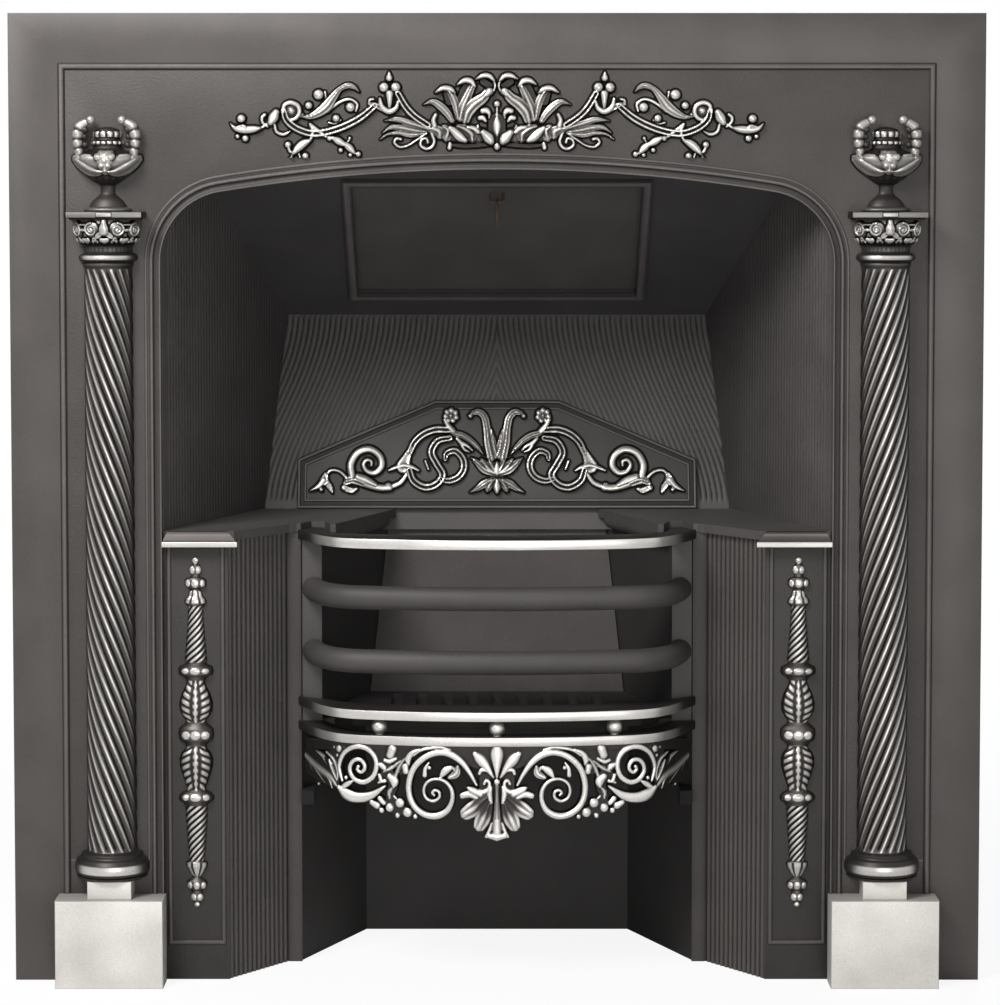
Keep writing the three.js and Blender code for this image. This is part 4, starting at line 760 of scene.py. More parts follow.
APRON_STROKES = [
    ("round", 4, [
        (156.9, 8.4, 2.2), (160.5, 21.6, 2.9), (156.1, 34.1, 3.2), (147.4, 41.4, 3.3), (137.7, 43.6, 3.4),
        (128.1, 40.6, 3.3), (121.6, 32.9, 3.2), (120.4, 23.1, 3.3), (124.4, 13.6, 3.4), (133.6, 8.2, 3.4),
        (142.7, 10.4, 3.2), (147.8, 17.6, 3), (147.4, 24.7, 3), (142.9, 29.8, 2.9), (136.8, 30.3, 2.8),
        (132.8, 26.2, 2.7), (132.6, 21.1, 2.6), (136.4, 18, 2.4), (139.9, 20.4, 2.4), (138.9, 23.6, 2.4),
    ]),
    ("round", 5, [
        (160.5, 1.1, 3.2), (151.9, -5.2, 6.5), (140.3, -7.5, 6), (126.1, -4.8, 5), (111.3, 5.2, 1.6),
    ]),
    ("round", 4, [(158.2, -0.1, 2.9), (151.5, 4.9, 3.7), (144.8, 8.8, 1.6)]),
    ("round", 4.4, [(152.2, 11.5, 2.7)]),
    ("round", 3, [(161.5, 39.4, 4.4)]),
    ("round", 2, [(155.2, 41.7, 1.8)]),
    ("round", 2, [(168, 40.4, 2.2)]),
    ("round", 2.6, [(163.8, 32.7, 2.2)]),
    ("flute", 2.6, [(180.6, 33.7, 1.9), (169.2, 28.1, 2.9), (163.6, 17.4, 3.2), (163, 8.5, 1.4)]),
    ("flute", 2.8, [(175.8, 26.5, 1.4), (170.3, 17.1, 3.4), (164.1, 7.5, 1.6)]),
    ("flute", 2.6, [(185.8, 13, 1.2), (175.1, 6.7, 3.2), (171.4, -0.8, 1.4)]),
    ("flute", 2.2, [(203.3, 32, 1.2), (188.9, 28.4, 2.9), (180.6, 21.8, 1.4)]),
    ("flute", 2.2, [(210.6, 14.7, 1.1), (195.8, 9.2, 2.9), (183.1, 2.5, 1.4)]),
    ("flute", 2, [(230.3, 21.3, 1.1), (218.1, 15.4, 2.4), (210.6, 7.6, 1.2)]),
    ("round", 2.4, [(166.8, 3.8, 2.4)]),
    ("round", 2.2, [(197.3, -1, 2.2)]),
    ("flute", 2.4, [(164.1, 1.5, 2.4), (176.7, 10.5, 8.4), (207, 17.3, 9.8), (238.2, 24, 6.2)]),
    ("round", 4.4, [(104.2, 42.4, 5.3), (106.2, 36.4, 5)]),
    ("round", 3.4, [(111.9, 30.7, 2.2), (106.8, 29.7, 2.7), (100.8, 32.6, 1.9)]),
    ("round", 3.6, [(118.4, 27.1, 1.9), (113.9, 24.7, 3.7), (111.5, 21.4, 1.9)]),
    ("flute", 2.8, [(112.9, 19.4, 1.6), (104.8, 23.6, 2.4), (96.7, 30.2, 1.4)]),
    ("flute", 3.4, [(90.1, 34.9, 1.4), (95.3, 27.8, 2.2), (99.2, 20.8, 2.2), (101.2, 13.8, 2.4)]),
    ("round", 4.2, [(106.8, 15, 3.7), (102.4, 10.2, 5.3), (103, 3.9, 1.4)]),
    ("round", 3.6, [(117.4, 15.9, 2.4), (115.5, 10, 2.9)]),
    ("round", 3.2, [(118.4, 8.3, 1.6), (112.1, 9.9, 2.4)]),
    ("flute", 3, [(103.8, 3.9, 1.4), (107.2, -0.6, 2.2), (107.4, -7.1, 1.4)]),
    ("round", 3.8, [(107.2, -16.4, 4.9)]),
    ("round", 3.8, [(96.7, -11.4, 5.4)]),
    ("round", 3.8, [(89, -20.6, 5.4)]),
    ("round", 3.2, [(99.2, -24.2, 2.9)]),
    ("round", 3.2, [(81.1, -24.5, 2.9)]),
    ("round", 4, [(120, -14.5, 4.4), (125.1, -11.7, 3.4)]),
    ("round", 4, [(116.9, -7.5, 3.4), (112.9, -11.9, 3)]),
    ("round", 3.6, [(115.3, -19.3, 3.4)]),
    ("round", 2, [(102.8, -5, 1.6), (96.7, -10.7, 1.6)]),
    ("round", 4, [(87.1, 27.1, 1.4), (88.3, 32.4, 3.9), (84.3, 39, 3.2), (76.7, 42.6, 1.4)]),
    ("round", 4, [(91.1, 25, 4.3), (90.3, 20.5, 3.9)]),
    ("round", 3.4, [
        (83.1, 36.1, 1.4), (75.7, 41.6, 1.9), (65.7, 44.2, 2.2), (54.8, 44.8, 2.2), (46.9, 42.3, 2.2),
    ]),
    ("round", 4.6, [
        (20.2, 8.1, 1.9), (26.5, 19.7, 2.9), (34.6, 30.6, 3.8), (45.3, 38.2, 4.3), (57.2, 40.2, 4),
        (70.7, 35.6, 4), (82.3, 24.3, 4), (87.3, 9.3, 3.9), (86.5, -4.5, 3.8), (80.7, -15.6, 3.9),
        (70.7, -22.2, 4), (59.2, -23.1, 4.2), (49.2, -17.4, 3.8), (44.3, -7.1, 3.2), (45.1, 3.7, 2.8),
        (51.6, 11.5, 2.4), (61.1, 13.7, 2.2), (69.3, 10, 2.2), (72.5, 2, 2.2), (69.9, -5.6, 2.2),
        (63.1, -8.4, 2.3), (57.2, -4.8, 2.3), (57.2, 0.6, 2.2), (61.3, 2.5, 2.2), (64.1, 0, 2),
        (62.1, -2.5, 2),
    ]),
    ("round", 2.6, [(71.7, 17, 2.9), (71.1, 23.9, 2.4), (67.7, 29.5, 1.4)]),
    ("round", 2.4, [(67.1, 24.4, 2.4)]),
    ("round", 3.4, [(55.4, 16, 2.4), (51.2, 21.6, 4.5), (45.9, 25, 2.9)]),
    ("flute", 2.8, [(48.4, 26.3, 1.4), (43.5, 24.4, 2.4), (40.5, 19.5, 1.2)]),
    ("flute", 2.4, [(46.9, 15.1, 2.9), (40.5, 19.1, 4.3), (39, 26.1, 2.2)]),
    ("round", 5, [(0, 15.9, 1.6), (0.2, 30.2, 5.5), (0.9, 39.1, 6.5), (1.1, 45.4, 3.8)]),
    ("round", 4.4, [(3.4, 15.9, 1.6), (9.4, 24.9, 4.5), (15.9, 32.8, 6), (21.6, 39, 3.3)]),
    ("round", 4, [(5.8, 19.8, 1.6), (10.9, 22.7, 2.4), (15.5, 22.9, 2.7), (17.4, 19.4, 2.2)]),
    ("round", 4.4, [(0, 11.1, 3.8)]),
    ("round", 4, [
        (12.7, 9.1, 2), (10.9, 12.3, 2.1), (7.8, 11.1, 2.3), (7.8, 5.6, 2.8), (12.3, 1.1, 3.6),
        (20.2, 1.6, 3.6),
    ]),
    ("round", 4.6, [(16.3, -1.3, 4), (23.2, 2, 4.8), (28.7, 5.5, 1.9)]),
    ("round", 4, [(34, -2.8, 3.8), (27.5, -1.4, 4.3), (20.2, -4.7, 2.9)]),
    ("shell", 5.4, [(10.3, -4.3, 3.9), (17.2, -10.2, 7.3), (24.1, -16.2, 8.7), (30.1, -20.2, 7.3)]),
    ("shell", 5.4, [(7.4, -9.2, 4.3), (10.9, -19, 7.3), (14.3, -26.3, 8.7), (16.8, -31.9, 7.1)]),
    ("round", 4.8, [(5.8, 5.6, 2), (7.4, -1.3, 3.9), (5.8, -9.2, 2.6)]),
    ("flute", 5, [(0, 7.6, 2.2), (0, -8.2, 2.9), (0, -23.9, 4), (0, -35.8, 6.7)]),
    ("round", 5, [(0, -27.9, 3.9), (0, -39.7, 5.9)]),
    ("round", 5.4, [(7.8, -42.3, 3.5), (0, -43.6, 4.9), (0, -43.6, 4.9)]),
    ("round", 4.4, [(5.4, -29.9, 1.6), (8, -38.7, 2.7), (10.7, -43.3, 2.2)]),
]

APRON_GROUND = [
    ("flat", 1.6, [
        (0, 47, 5.9), (36, 46.3, 4.9), (75.7, 45.6, 3.9), (115.9, 45, 4.9), (156.7, 44.6, 5.9),
        (252.1, 31.8, 6.1),
    ]),
    ("flat", 1.6, [(0, 39.1, 6.9), (18.2, 34.1, 10.8), (30.1, 40.9, 7.9), (43.9, 44.7, 4.9)]),
    ("flat", 1.6, [(0, 16.4, 5.9), (8.4, 23.3, 8.9), (12.3, 15.4, 5.9), (12.3, 5.6, 5.9)]),
    ("flat", 1.6, [(0, 5.6, 5.9), (4.4, -8.2, 9.9), (10.3, -20, 7.9), (4.4, -33.8, 6.9)]),
    ("flat", 1.6, [(252.1, 21.7, 16.3), (207, 17.3, 15), (176.7, 12.5, 12.9), (167.2, 5.4, 6)]),
    ("flat", 1.6, [(167.2, 35.1, 8.9), (163, 25.4, 6)]),
    ("flat", 1.4, [(119, 37, 5.9), (107.8, 37.3, 7.9), (95.7, 37.7, 6.9), (87.7, 39.9, 4.9)]),
    ("flat", 1.4, [
        (111.9, 31.3, 6.9), (109.9, 19.5, 6.9), (103.8, 7.8, 5.9), (106.8, -6.1, 4.9), (102.8, -15.9, 6.9),
        (90.7, -19.4, 4.9), (82.7, -20.2, 3.9),
    ]),
    ("flat", 1.4, [(98.8, 29.7, 4.9), (94.7, 20, 4)]),
]


# ------------------------------------------------------------------ front plate

def arch_line(grow=0.0, foot=0.0):
    """The opening's edge, or a line that far outside it, from its left foot over to its right one."""
    steps = 40
    half, crown, corner = OPENING_HALF + grow, ARCH_RADIUS + grow, ARCH_CORNER + grow
    centre_z = ARCH_CROWN - ARCH_RADIUS
    corner_x = OPENING_HALF - ARCH_CORNER
    spring = centre_z + sqrt((ARCH_RADIUS - ARCH_CORNER) ** 2 - corner_x ** 2)
    lean = atan(corner_x / (spring - centre_z))
    right = [(crown * sin(lean * k / steps), centre_z + crown * cos(lean * k / steps)) for k in range(steps)]
    for k in range(15):
        rise = pi / 2 - lean - (pi / 2 - lean) * k / 14
        right.append((corner_x + corner * cos(rise), spring + corner * sin(rise)))
    right.append((half, foot))
    return both(right)


# Profiles are (left of the line, height) points, each with how bright it is rubbed.
# Round the arch: a bead, a hollow and a fillet, from outside to its edge.
ARCH_PROFILE = [(11.5, -LET_IN), (11.5, 1.2), (11, 2.6), (9.6, 3.6), (8.2, 3.6), (7.2, 2.4), (6.6, 1.3),
                (5.2, 1.0), (3.6, 1.3), (2.4, 2.2), (1.7, 3.4), (1.2, 4.0), (0, 4.0), (0, -LET_IN)]
ARCH_RUB = [0.02, 0.05, 0.34, 0.6, 0.5, 0.16, 0.04, 0.1, 0.26, 0.42, 0.56, 0.6, 0.4, 0.2]
# Round the sunk field: a bead between two fillets.
RIM_PROFILE = [(-3.6, -LET_IN), (-3.6, 0.4), (-2.6, 1.0), (-2.2, 2.0), (-1.2, 2.8), (0, 3.0), (1.2, 2.8),
               (2.2, 2.0), (2.6, 1.0), (3.6, 0.4), (3.6, -LET_IN)]
RIM_RUB = [0, 0.02, 0.1, 0.4, 0.58, 0.54, 0.5, 0.4, 0.1, 0.02, 0]
# A hair line a little way outside the arch, down to the panels' feet.
QUIRK = [(-1.5, -LET_IN), (-1.5, 0.1), (-0.5, 0.7), (0.5, 0.7), (1.5, 0.1), (1.5, -LET_IN)]
QUIRK_RUB = [0, 0.04, 0.56, 0.5, 0.06, 0]
HAIR_LINE_OUT = 15  # from the opening's edge
PANEL_FOOT = 121


def front_plate():
    """The plate: a dressed border, and a sunk field within a beaded rim and round the arch."""
    seam, top = RIM_HALF - 3, RIM_TOP - 3
    border = [(-PLATE_HALF, 0), (-seam, 0), (-seam, top), (seam, top), (seam, 0), (PLATE_HALF, 0),
              (PLATE_HALF, PLATE_TOP), (-PLATE_HALF, PLATE_TOP)]
    casting = Casting()
    slab(casting, border, -PLATE_THICKNESS, 0, upright, 0.8, 0.3, 0.36)
    cast("plate_border", casting, dressed_iron, "black_iron", "front_plate")
    casting = Casting()
    field = [(seam, 0), (seam, top), (-seam, top), (-seam, 0), *arch_line()]
    slab(casting, field, -PLATE_THICKNESS, 0, upright, 0.8, 0.42, 0.31)
    run(casting, arch_line(0, MOULDING_FOOT), ARCH_PROFILE, upright, False, ARCH_RUB)
    rim = [(-seam, MOULDING_FOOT), (-seam, top), (seam, top), (seam, MOULDING_FOOT)]
    run(casting, rim, RIM_PROFILE, upright, False, RIM_RUB)
    run(casting, arch_line(HAIR_LINE_OUT, PANEL_FOOT), QUIRK, upright, False, QUIRK_RUB)
    for side in SIDES.values():
        foot = [(side * (OPENING_HALF + HAIR_LINE_OUT), PANEL_FOOT), (side * (seam - 4), PANEL_FOOT)]
        run(casting, foot if side > 0 else foot[::-1], QUIRK, upright, False, QUIRK_RUB)
        low, high = sorted((side * (OPENING_HALF + 12), side * (seam - 4)))
        back = [(low, MOULDING_FOOT), (high, MOULDING_FOOT), (high, PANEL_FOOT - 1), (low, PANEL_FOOT - 1)]
        slab(casting, back, -LET_IN, 0.9, upright, 0.6, 0.4, 0.3)
    cast("plate_field", casting, leaded_iron, "black_iron", "front_plate")


# ------------------------------------------------------------------ columns

def half_turned(casting, centre, rings, shape, face=0.0, depth=1.0, steps=48, side=1):
    """Half of a turned form against a flat face. Its rings are (radius, height) points, and depth flattens
    it. Shape says how far each point is moved outwards, and how bright it is. The turn it is given runs
    towards the right on side 1 and is mirrored on side -1."""
    rings = np.asarray(rings, float)
    turn = np.linspace(-pi / 2, pi / 2, steps + 1)[None, :]
    radius, height = rings[:, :1], rings[:, 1:]
    move, rubbed = shape(turn * side, height + 0 * turn, radius + 0 * turn)
    reach = np.maximum(0.05, radius + move)
    x = centre + reach * np.sin(turn)
    y = face - depth * reach * np.cos(turn)
    z = height + 0 * turn
    front = np.stack([x, y, z], -1)
    back = front.copy()
    back[..., 1] = face + LET_IN
    casting.skin(front, back, rubbed, 0.0)


def column(side):
    """Twisted half column between a polished base ring and the ring under its capital."""
    base = [(34, 106.3), (35.4, 107.4), (35.6, 108.6), (34.2, 109.4), (36, 110.6), (37.3, 114), (37.5, 117.5),
            (36.6, 122), (34, 125.6), (31.5, 127.2), (30.6, 128.4), (30.8, 130), (29.4, 131.4), (27, 132.2),
            (25.6, 133)]
    top = [(24, 714.6), (24.6, 716), (25.4, 717), (25.2, 718.4), (24.6, 719.4), (26.4, 720.4), (28.6, 721.6),
           (29.4, 723.8), (28.8, 726.4), (27, 727.9), (25.2, 728.6), (24, 729.6), (24, 733), (24.6, 735),
           (26, 736.2)]
    shaft = [(25 - (z - 134) / 580, z) for z in np.linspace(134, 713.6, 430)]
    rings = [*dense(base, 0.9), *shaft, *dense(top, 0.7)]

    def band(z, foot, low, high, top):
        """1 between low and high, and nothing below foot or above top."""
        return smooth_rise(z, foot, low) * (1 - smooth_rise(z, high, top))

    def shape(turn, z, radius):
        fluted = band(z, 133.5, 138, 706, 713.6)
        phase = COLUMN_FLUTES * turn / (2 * pi) - z / FLUTE_RISE
        rib = np.abs(np.sin(pi * phase))
        move = -2.5 * (1 - rib ** 0.5) * fluted
        # The narrow bright band on one side of each rib is a painted highlight, and the darkening towards the
        # column's sides is painted shade.
        ridge = np.exp(-(((phase % 1) - 0.42) / 0.13) ** 2)
        bright = smooth_rise(rib, 0.15, 0.6) * (0.25 + 0.45 * ridge)
        bright = bright * (1 - 0.7 * smooth_rise(np.abs(turn), 1, 1.35))
        # The bright band on the front of the base ring and of the rings under the capital is a painted
        # reflection.
        front = smooth_rise(np.cos(turn), 0.25, 0.85)
        ring = 0.12 + 0.54 * front * (band(z, 112.4, 113.4, 120.6, 122.4) + band(z, 721.4, 722.6, 725.6, 727)
                                      + 0.4 * band(z, 715.4, 716.2, 717.4, 718.6))
        neck = 0.15 + 0.2 * (np.cos(turn * 34) > 0.2) * band(z, 730, 731, 733.6, 734.6)
        plain = np.where(z > 729, neck, ring)
        return move, np.where(fluted > 0.02, np.maximum(bright, 0.2 * (1 - fluted)), plain)

    casting = Casting()
    half_turned(casting, side * COLUMN_X, rings, shape, steps=112, side=side)
    return casting


def plinth(side):
    """A block and the pad on it, their faces ground bright."""
    casting = Casting()
    middle = side * COLUMN_X
    for half, low, high, depth in ((BLOCK_HALF, 0, BLOCK_TOP, BLOCK_DEPTH),
                                   (PAD_HALF, BLOCK_TOP - 0.2, PAD_TOP, PAD_DEPTH)):
        square = [(middle - half, low), (middle + half, low), (middle + half, high), (middle - half, high)]
        slab(casting, square, -LET_IN, depth, upright, 1.1, 0.6, 0.8)
    return casting


def spiral(x, z, size, turn, turns, wide):
    """A scroll's line from its outer end in to its eye, as (x, z, half width) points."""
    steps = ceil(turns * 12)
    return [(x + turn * size * (1 - 0.8 * k / steps) * sin(2 * pi * turns * k / steps),
             z + size * (1 - 0.8 * k / steps) * cos(2 * pi * turns * k / steps),
             wide * (1 - 0.35 * k / steps)) for k in range(steps + 1)]


def capital(side):
    """A swelling bell with four scrolls, a centre leaf and leaf tips, under a thin slab with a boss."""
    casting = Casting()
    middle = side * COLUMN_X
    swell = [(736.8, 25.6), (740, 28.4), (744, 31), (748, 32.6), (753, 33.6), (758, 33.6), (761.8, 32.4)]
    rings = dense([(radius, z) for z, radius in swell], 0.8)
    half_turned(casting, middle, rings, lambda turn, z, radius: (0 * z, 0.46 - 0.26 * (z < 740)))
    scrolls = Carving(50, -13, 11.4, 0.5)
    for at, size in ((13.2, 6.8), (33.4, 7.2)):
        scrolls.stroke("dull", 2, [(at, 1.6, size + 1.6)])
        scrolls.stroke("round", 3.8, spiral(at, 1.6, size, 1 if at < 20 else -1, 1.7, 1.5))
        scrolls.stroke("round", 3.2, [(at, 1.6, 1.8)])
    scrolls.stroke("round", 2.6, [(19, 6.6, 1.3), (28, 6.6, 1.3)])
    scrolls.stroke("round", 2.2, [(20.6, 1, 1.2), (23.6, 1.4, 2), (26.6, 1, 1.2)])
    scrolls.stroke("round", 4.6, [(0, 10, 3), (-1, 6.4, 4.6), (0, 2, 5.2), (1, -1, 4)])
    scrolls.stroke("hollow", 3.6, [(2, -1, 2), (6, -4.4, 3), (9, -6.4, 1)])
    for at in (0, 22, 43):
        scrolls.stroke("round", 3.2, [(at - 3.4, -8.6, 2.6), (at, -9.4, 3.2), (at + 3.4, -8.6, 2.6)])
    for at in (11, 32.6):
        scrolls.stroke("leaf", 2.2, [(at - 3, -10.4, 1.8), (at, -8, 2.8), (at + 3, -10.4, 1.8)])

    def on_swell(r):
        z = r[..., 1] + CAPITAL_MIDDLE
        radius = np.interp(z, *zip(*swell))
        turn = r[..., 0] / 34.5
        reach = radius + r[..., 2]
        return np.stack([middle + reach * np.sin(turn), -reach * np.cos(turn), z], -1)

    scrolls.carve(casting, on_swell, 0.3, 1.25)
    slabs = ((34.4, 761.4, 763.4, 0, 34.4, 0.1), (37.5, 763, 769.4, 0, 37.5, 0.46),
             (8, 763.8, 768.8, 30, 38.6, 0.62))
    for half, low, high, start, out, face in slabs:
        edge = [(middle - half, low), (middle + half, low), (middle + half, high), (middle - half, high)]
        slab(casting, edge, start, out, upright, 0.9, 0.1, face)
    return casting


URN_DEPTH = 0.72  # how far the urn stands out, for each millimetre of its half width


def urn(side):
    """Footed urn: a wide bowl with a rosette and two long leaves, a beaded neck and thick handles that
    curl over to a ball."""
    casting = Casting()
    middle = side * COLUMN_X
    foot = [(23.6, 769.8), (24, 771.4), (22.6, 772.8), (19, 774), (17.4, 777), (14.4, 781), (10.4, 784.4),
            (7.8, 786.8), (7, 790), (7.2, 794.4), (9.2, 796.6), (11.4, 797.4)]
    bowl = [(14, 799.4), (20, 803.6), (26.4, 809), (31.4, 814.6), (33.8, 819.6), (34.2, 823), (32, 825.4)]
    neck = [(25, 827.6), (18.6, 829.6), (14.8, 832), (14.2, 834), (15.4, 835.2), (16, 837), (15.4, 838.8),
            (13.8, 840), (12.8, 841.4), (13.6, 842.8), (14.4, 845.6), (13.8, 848), (12.4, 849.4),
            (11.6, 850.4), (6, 852.4), (0.6, 853)]
    rings = dense(eased([*foot, *bowl, *neck], 1.2), 0.9)

    def body(turn, z, radius):
        small = smooth_rise(z, 834.8, 835.8) * (1 - smooth_rise(z, 838.2, 839.2)) * np.abs(np.sin(turn * 8))
        large = 0.9 * smooth_rise(z, 841.8, 843) * (1 - smooth_rise(z, 847.8, 849)) * np.abs(np.sin(turn * 6))
        gadroon = smooth_rise(z, 799, 802) * (1 - smooth_rise(z, 806, 811)) * np.abs(np.cos(turn * 8))
        move = 1.5 * (small + large) - 0.7 * (z > 834) + 0.5 * gadroon
        bright = 0.3 + 0.12 * (z < 774) + 0.1 * gadroon + 0.6 * smooth_rise(small + large, 0.2, 0.7)
        return move, bright - 0.1 * ((z > 834) | (z > 824))

    half_turned(casting, middle, rings, body, steps=72, depth=URN_DEPTH)
    leaves = Carving(36, -17, 10, 0.5)
    leaves.stroke("dull", 3.4, [(4, -7, 6), (12, -3, 8), (22, 1, 6)])
    leaves.stroke("flute", 4.6, [(2, -11, 1.6), (9, -11, 5), (17, -7.6, 7.4), (25, -2.6, 6.6), (31, 2, 4.4)])
    leaves.stroke("round", 4.6, [(28, 3.2, 3.6), (32, 3.4, 3.2)])
    leaves.stroke("round", 2.4, [(15, 4.4, 2.4), (21, 4.4, 3), (26, 3, 1.6)])
    leaves.stroke("round", 4.6, [(0, 6.4, 6), (0, 2, 11), (0, -4, 8.6), (0, -11, 4)])
    for x, z, size in ((6.6, 3.4, 4.8), (0, 6.4, 4.4), (0, -0.6, 4.2), (3.4, -6, 4), (0, -11, 2.8)):
        leaves.stroke("round", 5.8, [(x, z, size)])

    def on_bowl(r):
        z = r[..., 1] + URN_MIDDLE
        radius = np.interp(z, *zip(*[(height, width) for width, height in [*bowl, *neck[:3]]]))
        front = np.sqrt(np.maximum(radius ** 2 - r[..., 0] ** 2, 6.0))
        return np.stack([middle + r[..., 0], -URN_DEPTH * front - r[..., 2], z], -1)

    leaves.carve(casting, on_bowl, 0.3, 1.2, 0.8)
    for way in (-1, 1):
        line = eased([(27.4, 824, 3.8), (27, 828, 4.4), (28.4, 836.7, 5.2), (28.4, 844.6, 5.6),
                      (27.4, 851, 5.6), (23.4, 855, 4.8), (19, 857.6, 3.8)], 1.0)
        notch = 1 - 0.22 * sum(np.exp(-((line[:, 1] - z) / 1.3) ** 2) for z in (832, 840.6, 850))
        points = np.stack([middle + way * line[:, 0], np.full(len(line), HANDLE_Y), line[:, 1]], -1)
        wire(casting, points, line[:, 2] * notch, 14, 0.62 - 1.4 * (1 - notch))
        for x, z, size, rubbed in ((15.4, 859.4, 4.6, 0.62), (21, 850, 3.6, 0.34), (21.6, 843, 3, 0.3),
                                   (21, 835, 3.4, 0.3)):
            ball(casting, (middle + way * x, HANDLE_Y, z), size, rubbed)
    return casting


def ball(casting, centre, radius, rubbed):
    """A small ball on the urn's handle."""
    rise = np.linspace(-pi / 2, pi / 2, 11)[1:-1]
    turn = np.linspace(0, 2 * pi, 18, endpoint=False)
    rings = np.stack([centre[0] + radius * np.outer(np.cos(rise), np.cos(turn)),
                      centre[1] + radius * np.outer(np.cos(rise), np.sin(turn)),
                      centre[2] + radius * np.outer(np.sin(rise), np.ones(18))], -1)
    casting.tube(rings, rubbed)


# ------------------------------------------------------------------ pilasters and returns

# Down from its tip: (distance, radius) of the baluster's rings, and its small round berries as
# (distance, across from the middle, half width, half height), all in millimetres.
BALUSTER_TOP = 427
BALUSTER = [(0, 1), (2, 3), (4.4, 3.6), (7.4, 2.6), (9, 5), (14, 6), (19, 4.6), (20.6, 4.6), (22, 9.4),
            (24, 11.4), (29, 11.6), (31.4, 9.6), (33, 4.6), (36, 6.8), (40, 7.8), (43, 10.6), (46.4, 11.6),
            (48.6, 9.6), (51, 7.8), (60, 7.8), (84, 9.6), (104, 11.4), (107.4, 10), (109, 13), (111, 17.4),
            (114.6, 18.4), (118.4, 17.4), (121, 12), (124, 9.6), (130, 11.4), (138, 15.6), (147, 18),
            (155, 17.4), (161, 14.4), (165, 11), (168, 11), (170.4, 14.6), (174, 18), (179, 18.6),
            (184, 17.4), (187, 13), (189.4, 10.6), (193, 12), (197, 15.8), (203, 18), (211, 17.6),
            (222, 14.4), (232, 10.8), (235.6, 11), (237.6, 15.6), (241, 18.4), (245, 18), (248, 13.4),
            (250, 11.4), (262, 11), (285, 9.4), (306, 8), (308, 11.4), (312, 11), (319, 7), (323, 3.6),
            (325.6, 8), (327.4, 10.8), (331, 11), (335, 9.4), (337, 5), (339, 6), (344, 6.4), (348, 4.6),
            (349, 3), (351.6, 3.2), (353.5, 1)]
BERRIES = [(4.4, 0, 3.6, 3.6), (14, 4.4, 4.2, 4.4), (27, 0, 4, 4.6), (27, 7.6, 2.6, 4.4),
           (114.6, 0, 5.6, 3.4), (114.6, 10.4, 4, 3), (179, 0, 5.4, 4.6), (179, 10, 4.6, 4.4),
           (241.6, 0, 6, 4), (241.6, 10.6, 3.6, 3.4), (331, 0, 3.4, 4.2), (331, 7.2, 2.8, 4),
           (343.4, 4.2, 4, 4), (351, 0, 3.2, 2.8)]


def baluster(side):
    """A flattened turned ornament: berries, fluted rings, twisted shafts and two leafed vases."""
    rings = dense([(r, BALUSTER_TOP - down) for down, r in BALUSTER], 0.9)[::-1]

    def within(down, low, high):
        return smooth_rise(down, low, low + 1.5) * (1 - smooth_rise(down, high - 1.5, high))

    def shape(turn, z, radius):
        down = BALUSTER_TOP - z
        across = np.abs(radius * np.sin(turn))
        berry = np.zeros_like(down)
        for middle, out, wide, tall in BERRIES:
            berry = np.maximum(berry, 1 - ((across - out) / wide) ** 2 - ((down - middle) / tall) ** 2)
        berried = sum(within(down, middle - tall - 1.4, middle + tall + 1.4)
                      for middle, out, wide, tall in BERRIES if not out)
        berried = np.clip(berried + within(down, 8.6, 20) + within(down, 338, 348.6), 0, 1)
        edges = 1 - smooth_rise(np.abs(turn), 0.85, 1.2)
        twist = within(down, 49, 107) + within(down, 250, 307)
        rib = np.abs(np.sin(pi * (8 * turn / (2 * pi) - down / 6.6)))
        slant = np.where(down < 180, 1, -1)
        leafy = within(down, 124, 167) + within(down, 190, 236)
        vein = np.abs(np.sin(pi * (down / 7 + slant * 0.95 * np.abs(turn))))
        centre = 0.9 * np.exp(-(np.abs(turn) / 0.1) ** 2)
        beside = np.exp(-((np.abs(turn) - 0.25) / 0.12) ** 2)
        crease = np.maximum(smooth_rise(vein, 0.2, 0.9) * (1 - beside) * edges, centre)
        bell = within(down, 34, 48) + within(down, 307, 323)
        petal = np.abs(np.cos(turn * 3.5))
        move = (1.5 * np.sqrt(np.maximum(0, berry)) - 0.6) * berried - 1.6 * (1 - rib ** 0.7) * twist
        move += (1.3 * crease - 1.1) * leafy + 1.3 * (petal ** 0.6 - 1) * bell
        # A painted sheen: the baluster is made brighter down its middle and darker towards its sides.
        painted_sheen = 0.42 + 0.68 * np.cos(turn) ** 2
        bright = 0.36 * (1 - twist) + smooth_rise(rib, 0.3, 1) * 0.76 * twist
        bright = bright + (0.6 * crease - 0.22) * leafy + 0.55 * (smooth_rise(petal, 0.2, 0.7) - 0.2) * bell
        bright = bright * (1 - berried) + (0.36 + 0.5 * smooth_rise(berry, 0.02, 0.4)) * berried
        # Its sides are darkened further: painted shade.
        return move, np.clip(bright * painted_sheen * (1 - 0.8 * smooth_rise(np.abs(turn), 1.15, 1.45)), 0, 1)

    casting = Casting()
    half_turned(casting, side * BALUSTER_X, rings, shape, PILASTER_FACE, 0.55, 64, -1)
    return casting


def flat_back(rings, face):
    """A line's x and z with a rise towards the room from a face at that y."""
    return np.stack([rings[..., 0], face - rings[..., 2], rings[..., 1]], -1)


BEAD = [(-2.4, -LET_IN), (-2.4, 0.2), (-1.7, 1.3), (-0.7, 1.9), (0.7, 1.9), (1.7, 1.3), (2.4, 0.2),
        (2.4, -LET_IN)]
BEAD_RUB = [0, 0.04, 0.3, 0.42, 0.4, 0.3, 0.04, 0]


